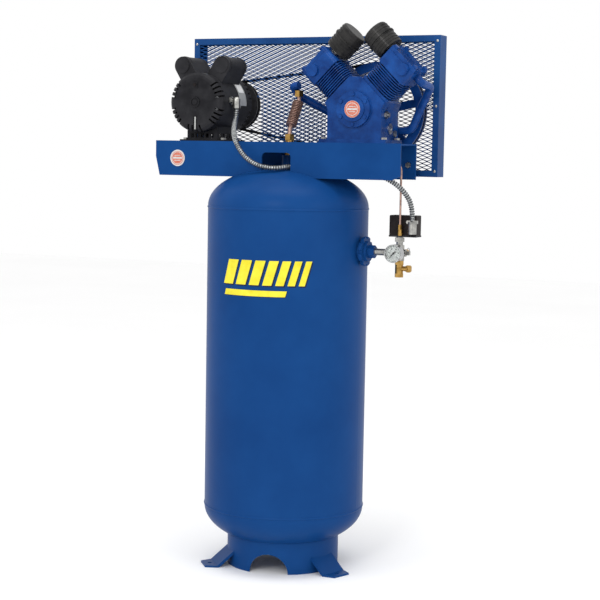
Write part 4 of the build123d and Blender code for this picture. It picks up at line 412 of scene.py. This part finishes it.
def smooth_line(name, points):
    """Evenly read points of the route's NURBS spline, from a curve without thickness."""
    curve = bpy.data.curves.new(name, "CURVE")
    curve.dimensions = "3D"
    spline = curve.splines.new("NURBS")
    spline.points.add(len(points) - 1)
    for point, place in zip(spline.points, points):
        point.co = (*place, 1.0)
    spline.order_u = 3
    spline.use_endpoint_u = True
    curve.resolution_u = 24
    holder = bpy.data.objects.new(name, curve)
    bpy.context.collection.objects.link(holder)
    bpy.context.view_layer.update()
    flat = bpy.data.meshes.new_from_object(holder.evaluated_get(bpy.context.evaluated_depsgraph_get()))
    line = [vertex.co.copy() for vertex in flat.vertices]
    bpy.data.objects.remove(holder)
    bpy.data.meshes.remove(flat)
    return line


def along(line, distances):
    """Places and directions at distances along a line of points."""
    spots = []
    travelled = 0.0
    segment = 0
    for distance in distances:
        while segment < len(line) - 2:
            run = (line[segment + 1] - line[segment]).length
            if travelled + run >= distance:
                break
            travelled += run
            segment += 1
        start, end = line[segment], line[segment + 1]
        run = max((end - start).length, 1e-9)
        spots.append((start.lerp(end, (distance - travelled) / run), (end - start) / run))
    return spots


def conduit():
    """Flexible steel conduit: interlocked turns of strip along the route."""
    line = smooth_line("conduit_route", CONDUIT_POINTS)
    length = sum((b - a).length for a, b in zip(line, line[1:]))
    turns = int(length / RIB_PITCH)
    distances = []
    radii = []
    for turn in range(turns):
        for share, low in RIB_SECTION:
            distances.append((turn + share) * length / turns)
            radii.append(CONDUIT_RADIUS - low * RIB_DEPTH)
    side = Vector((0, 1, 0))
    steps = 20
    shape = Shape()
    points = []
    for (place, direction), radius in zip(along(line, distances), radii):
        side = (side - direction * side.dot(direction)).normalized()
        other = direction.cross(side)
        for index in range(steps):
            angle = 2 * math.pi * index / steps
            points.append(place + radius * (side * math.cos(angle) + other * math.sin(angle)))
    faces = []
    for ring in range(len(distances) - 1):
        for index in range(steps):
            after = (index + 1) % steps
            faces.append((ring * steps + index, ring * steps + after,
                          (ring + 1) * steps + after, (ring + 1) * steps + index))
    faces.append(tuple(reversed(range(steps))))
    faces.append(tuple((len(distances) - 1) * steps + index for index in range(steps)))
    shape.add(points, faces)
    tube = shape.make("conduit_armour", MATERIALS["conduit_steel"], slot="conduit_steel")
    # The groove faces take the darker material: painted shade in the creases between the turns.
    tube.data.materials.append(conduit_groove_painted_shade)
    groove_shade_faces = [int((index // steps) % len(RIB_SECTION) == 1) for index in range(len(tube.data.polygons))]
    tube.data.polygons.foreach_set("material_index", groove_shade_faces)
    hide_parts("wiring_conduit")


conduit()


# ---------------------------------------------------------------- tank mark
MARK_CENTRE = 0.931
MARK_HEIGHT = 0.075
MARK_AZIMUTH = 9.4
MARK_ARC = 67.0
MARK_BARS = 7
MARK_LIFT = 0.0006
MARK_THICK = 0.0003

yellow_ink = surface("yellow_ink", tone(214, 200, 40), tone(238, 224, 64), 0.4, patch=30.0, grain=500.0,
                     depth=0.00003, coat=0.3)
navy_ink = surface("navy_ink", tone(10, 20, 52), tone(16, 28, 66), 0.4, patch=30.0, grain=500.0,
                   depth=0.00003, coat=0.3)


def curved_patch(shape, corners, lift, radius):
    """Printed patch on the tank: corners as (angle, height), split so that it follows the shell."""
    steps = 8
    (a0, z0), (a1, z1), (a2, z2), (a3, z3) = corners
    rows = []
    for layer in (lift, lift - MARK_THICK):
        for index in range(steps + 1):
            share = index / steps
            for angle, z in ((a0 + (a1 - a0) * share, z0 + (z1 - z0) * share),
                             (a3 + (a2 - a3) * share, z3 + (z2 - z3) * share)):
                turn = math.radians(angle)
                reach = radius + layer
                rows.append((math.sin(turn) * reach, -math.cos(turn) * reach, z))
    faces = []
    count = 2 * (steps + 1)
    for index in range(steps):
        near = 2 * index
        faces.append((near, near + 2, near + 3, near + 1))
        faces.append((count + near + 1, count + near + 3, count + near + 2, count + near))
        faces.append((near, count + near, count + near + 2, near + 2))
        faces.append((near + 1, near + 3, count + near + 3, count + near + 1))
    faces.append((0, 1, count + 1, count))
    last = 2 * steps
    faces.append((last, count + last, count + last + 1, last + 1))
    shape.add(rows, faces)


def tank_mark():
    """Plain generic mark: slanted bars of falling width over an underline, with a dark shadow."""
    head_low, head_high = (Vector(corner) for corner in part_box("tank_top_head"))
    radius = (head_high.x - head_low.x) / 2
    ink, shade = Shape(), Shape()
    start = MARK_AZIMUTH - MARK_ARC / 2
    widths = [1.5 - 0.13 * index for index in range(MARK_BARS)]
    gap = 0.45
    unit = MARK_ARC * 0.92 / (sum(widths) + gap * (MARK_BARS - 1))
    angle = start
    slant = 5.0
    low = MARK_CENTRE - MARK_HEIGHT * 0.28
    high = MARK_CENTRE + MARK_HEIGHT * 0.72
    shadow = 0.8
    drop = 0.004
    for width in widths:
        wide = width * unit
        bar = [(angle, low), (angle + wide, low), (angle + wide + slant, high), (angle + slant, high)]
        curved_patch(ink, bar, MARK_LIFT, radius)
        curved_patch(shade, [(a + shadow, z - drop) for a, z in bar], MARK_LIFT - MARK_THICK, radius)
        angle += wide + gap * unit
    under_low, under_high = low - 0.034, low - 0.016
    line = [(start + 1, under_low), (start + MARK_ARC * 0.72, under_low),
            (start + MARK_ARC * 0.72 + 1.2, under_high), (start + 2.2, under_high)]
    curved_patch(ink, line, MARK_LIFT, radius)
    curved_patch(shade, [(a + shadow / 2, z - drop / 2) for a, z in line], MARK_LIFT - MARK_THICK, radius)
    ink.make("tank_mark", yellow_ink, slot="receiver_paint")
    shade.make("tank_mark_shadow", navy_ink, slot="receiver_paint")


tank_mark()


# ---------------------------------------------------------------- badges, plates and dial
DIGIT_STROKES = {
    "0": "abcdef", "1": "bc", "2": "abged", "3": "abgcd", "4": "fgbc", "5": "afgcd", "6": "afgecd",
    "7": "abc", "8": "abcdefg", "9": "abcdfg",
}
STROKE_ENDS = {
    "a": ((-0.5, 1), (0.5, 1)), "b": ((0.5, 1), (0.5, 0)), "c": ((0.5, 0), (0.5, -1)),
    "d": ((-0.5, -1), (0.5, -1)), "e": ((-0.5, 0), (-0.5, -1)), "f": ((-0.5, 1), (-0.5, 0)),
    "g": ((-0.5, 0), (0.5, 0)),
}


def flat_stroke(shape, start, end, width, y, thick):
    """Thin raised bar on a face that looks to -Y; start and end are (x, z)."""
    a, b = Vector((start[0], y, start[1])), Vector((end[0], y, end[1]))
    along_bar = (b - a).normalized()
    across = Vector((-along_bar.z, 0, along_bar.x)) * width / 2
    shape.ribbon([a, b], across, Vector((0, thick / 2, 0)))


def round_badge(name, x, y, z, radius, share):
    """Blank badge: a bright rim round a coppery field with a plain raised bar and arcs."""
    field, relief = Shape(), Shape()
    reach = radius * share
    field.lathe([(0, 0), (reach, 0), (reach, 0.0003), (0, 0.0003)], (x, y, z), (0, -1, 0))
    field.make(name + "_field", copper_ink, slot="badge_metal")
    face = y - 0.0005
    for level, half in ((0.0, 0.62), (0.3, 0.42), (-0.3, 0.42)):
        flat_stroke(relief, (x - half * radius, z + level * radius), (x + half * radius, z + level * radius),
                    radius * (0.2 if level == 0 else 0.07), face, 0.0004)
    inner, outer = radius * 0.7, radius * 0.76
    relief.lathe([(inner, 0), (outer, 0), (outer, 0.0003), (inner, 0.0003), (inner, 0)],
                 (x, y - 0.0003, z), (0, -1, 0))
    relief.make(name + "_relief", MATERIALS["badge_metal"], slot="badge_metal")


BADGE_RADIUS = 0.026
BADGE_THICKNESS = 0.0015


def badges():
    """The deck apron's badge has a bright rim, and the pump's is coppery nearly to its edge."""
    low, high = (Vector(corner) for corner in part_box("round_badges"))
    radius = BADGE_RADIUS
    round_badge("apron_badge", low.x + radius, low.y, low.z + radius, radius, 0.84)
    round_badge("pump_badge", high.x - radius, high.y - BADGE_THICKNESS, high.z - radius, radius, 0.98)


badges()


def gauge_dial():
    """White dial with ticks round three quarters of a turn and plain numbers."""
    low, high = (Vector(corner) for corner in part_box("gauge_body"))
    centre_x, centre_z = (low.x + high.x) / 2, (low.z + high.z) / 2
    y = low.y + 0.008
    radius = 0.0257
    dial, ticks = Shape(), Shape()
    hole = 0.0024
    dial.lathe([(hole, 0), (radius, 0), (radius, 0.0003), (hole, 0.0003), (hole, 0)],
               (centre_x, y, centre_z), (0, -1, 0))
    dial.make("gauge_dial", plate_white, slot="bright_steel")
    face = y - 0.0005
    for step in range(51):
        turn = math.radians(225 - step * 5.4)
        inner = 0.86 if step % 5 else 0.76
        ends = [(centre_x + share * radius * math.cos(turn), centre_z + share * radius * math.sin(turn))
                for share in (inner, 0.94)]
        flat_stroke(ticks, ends[0], ends[1], 0.0004 if step % 5 else 0.0007, face, 0.0003)
    for index, number in enumerate(("0", "50", "100", "150", "200", "250")):
        turn = math.radians(225 - index * 54)
        middle = (centre_x + 0.58 * radius * math.cos(turn), centre_z + 0.58 * radius * math.sin(turn))
        for place, digit in enumerate(number):
            shift = (place - (len(number) - 1) / 2) * 0.0022
            for stroke in DIGIT_STROKES[digit]:
                ends = [(middle[0] + shift + 0.0014 * u, middle[1] + 0.0014 * v)
                        for u, v in STROKE_ENDS[stroke]]
                flat_stroke(ticks, ends[0], ends[1], 0.0004, face, 0.0003)
    ticks.make("gauge_scale", dark_ink_and_painted_shade, slot="bright_steel")


gauge_dial()


def bent_plate(name, material, angles, ys, radius, centre, thick, slot):
    """Thin plate that follows a round body on the Y axis; angles run from the top towards +X."""
    shape = Shape()
    line = []
    for index in range(13):
        turn = math.radians(angles[0] + (angles[1] - angles[0]) * index / 12)
        line.append((math.sin(turn), math.cos(turn)))
    points = []
    for reach in (radius + thick, radius):
        for y in ys:
            points.extend((centre[0] + reach * u, y, centre[1] + reach * v) for u, v in line)
    count = len(line)
    faces = []
    for index in range(count - 1):
        a, b, c, d = index, count + index, 2 * count + index, 3 * count + index
        faces.append((a, a + 1, b + 1, b))
        faces.append((c, d, d + 1, c + 1))
        faces.append((a, c, c + 1, a + 1))
        faces.append((b, b + 1, d + 1, d))
    faces.append((0, count, 3 * count, 2 * count))
    faces.append((count - 1, 3 * count - 1, 4 * count - 1, 2 * count - 1))
    shape.add(points, faces)
    shape.make(name, material, slot=slot)


MOTOR_CENTRE = (-0.285, 1.466)
MOTOR_RADIUS = 0.093
BELL_FACE = 0.004
PLATE_THICK = 0.0006
PRINT_THICK = 0.0003


def motor_plates():
    """Blank rating plate and its panel on the motor's right side, and the bell's bright strip on a dark bar
    of painted recess shade.
    """
    bent_plate("motor_plate", plate_grey, (46, 94), (0.026, 0.074), MOTOR_RADIUS, MOTOR_CENTRE,
               PLATE_THICK, "motor_paint")
    bent_plate("motor_plate_panel", plate_white, (50, 68), (0.032, 0.068), MOTOR_RADIUS + PLATE_THICK,
               MOTOR_CENTRE, PRINT_THICK, "motor_paint")
    strip, recess_shade = Shape(), Shape()
    low, high = (Vector(corner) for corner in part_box("motor_front_bell"))
    face = low.y + BELL_FACE
    x = MOTOR_CENTRE[0]
    # Dark bar round the strip: painted shade standing in for the recess it sits in.
    flat_stroke(recess_shade, (x, 1.4235), (x, 1.3765), 0.013, face - 0.0003, 0.0006)
    recess_shade.make("bell_recess_painted_shade", dark_ink_and_painted_shade, slot="motor_paint")
    flat_stroke(strip, (x + 0.001, 1.4195), (x + 0.001, 1.3800), 0.0042, face - 0.0011, 0.0010)
    strip.make("bell_strip", plate_grey, slot="motor_paint")


motor_plates()


def pan_screw(shape, place, direction, radius, height):
    """Round-headed screw."""
    profile = [(0, 0), (radius, 0), (radius, height * 0.4), (radius * 0.7, height * 0.85), (0, height)]
    shape.lathe(profile, place, direction, steps=20)


GUARD_FACE = 0.166


def guard_screws():
    """Bright screws that hold the guard's panels to its frame, on the front flange."""
    low, high = (Vector(corner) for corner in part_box("guard_frame"))
    shape = Shape()
    for x in (low.x + 0.010, high.x - 0.010):
        for z in (low.z + 0.018, (low.z + high.z) / 2, high.z - 0.018):
            pan_screw(shape, (x, GUARD_FACE, z), (0, -1, 0), 0.0042, 0.0024)
    shape.make("guard_screws", MATERIALS["zinc_steel"], slot="zinc_steel")


guard_screws()


floor_mesh = bpy.data.meshes.new("floor")
floor_mesh.from_pydata([(-12, -12, 0), (12, -12, 0), (12, 12, 0), (-12, 12, 0)], [], [(0, 1, 2, 3)])
floor = bpy.data.objects.new("floor", floor_mesh)
bpy.context.collection.objects.link(floor)
floor_mesh.materials.append(surface("floor_paper", tone(251, 251, 251), tone(254, 254, 254), 0.8,
                                    patch=0.5, grain=200.0, depth=0.00005))
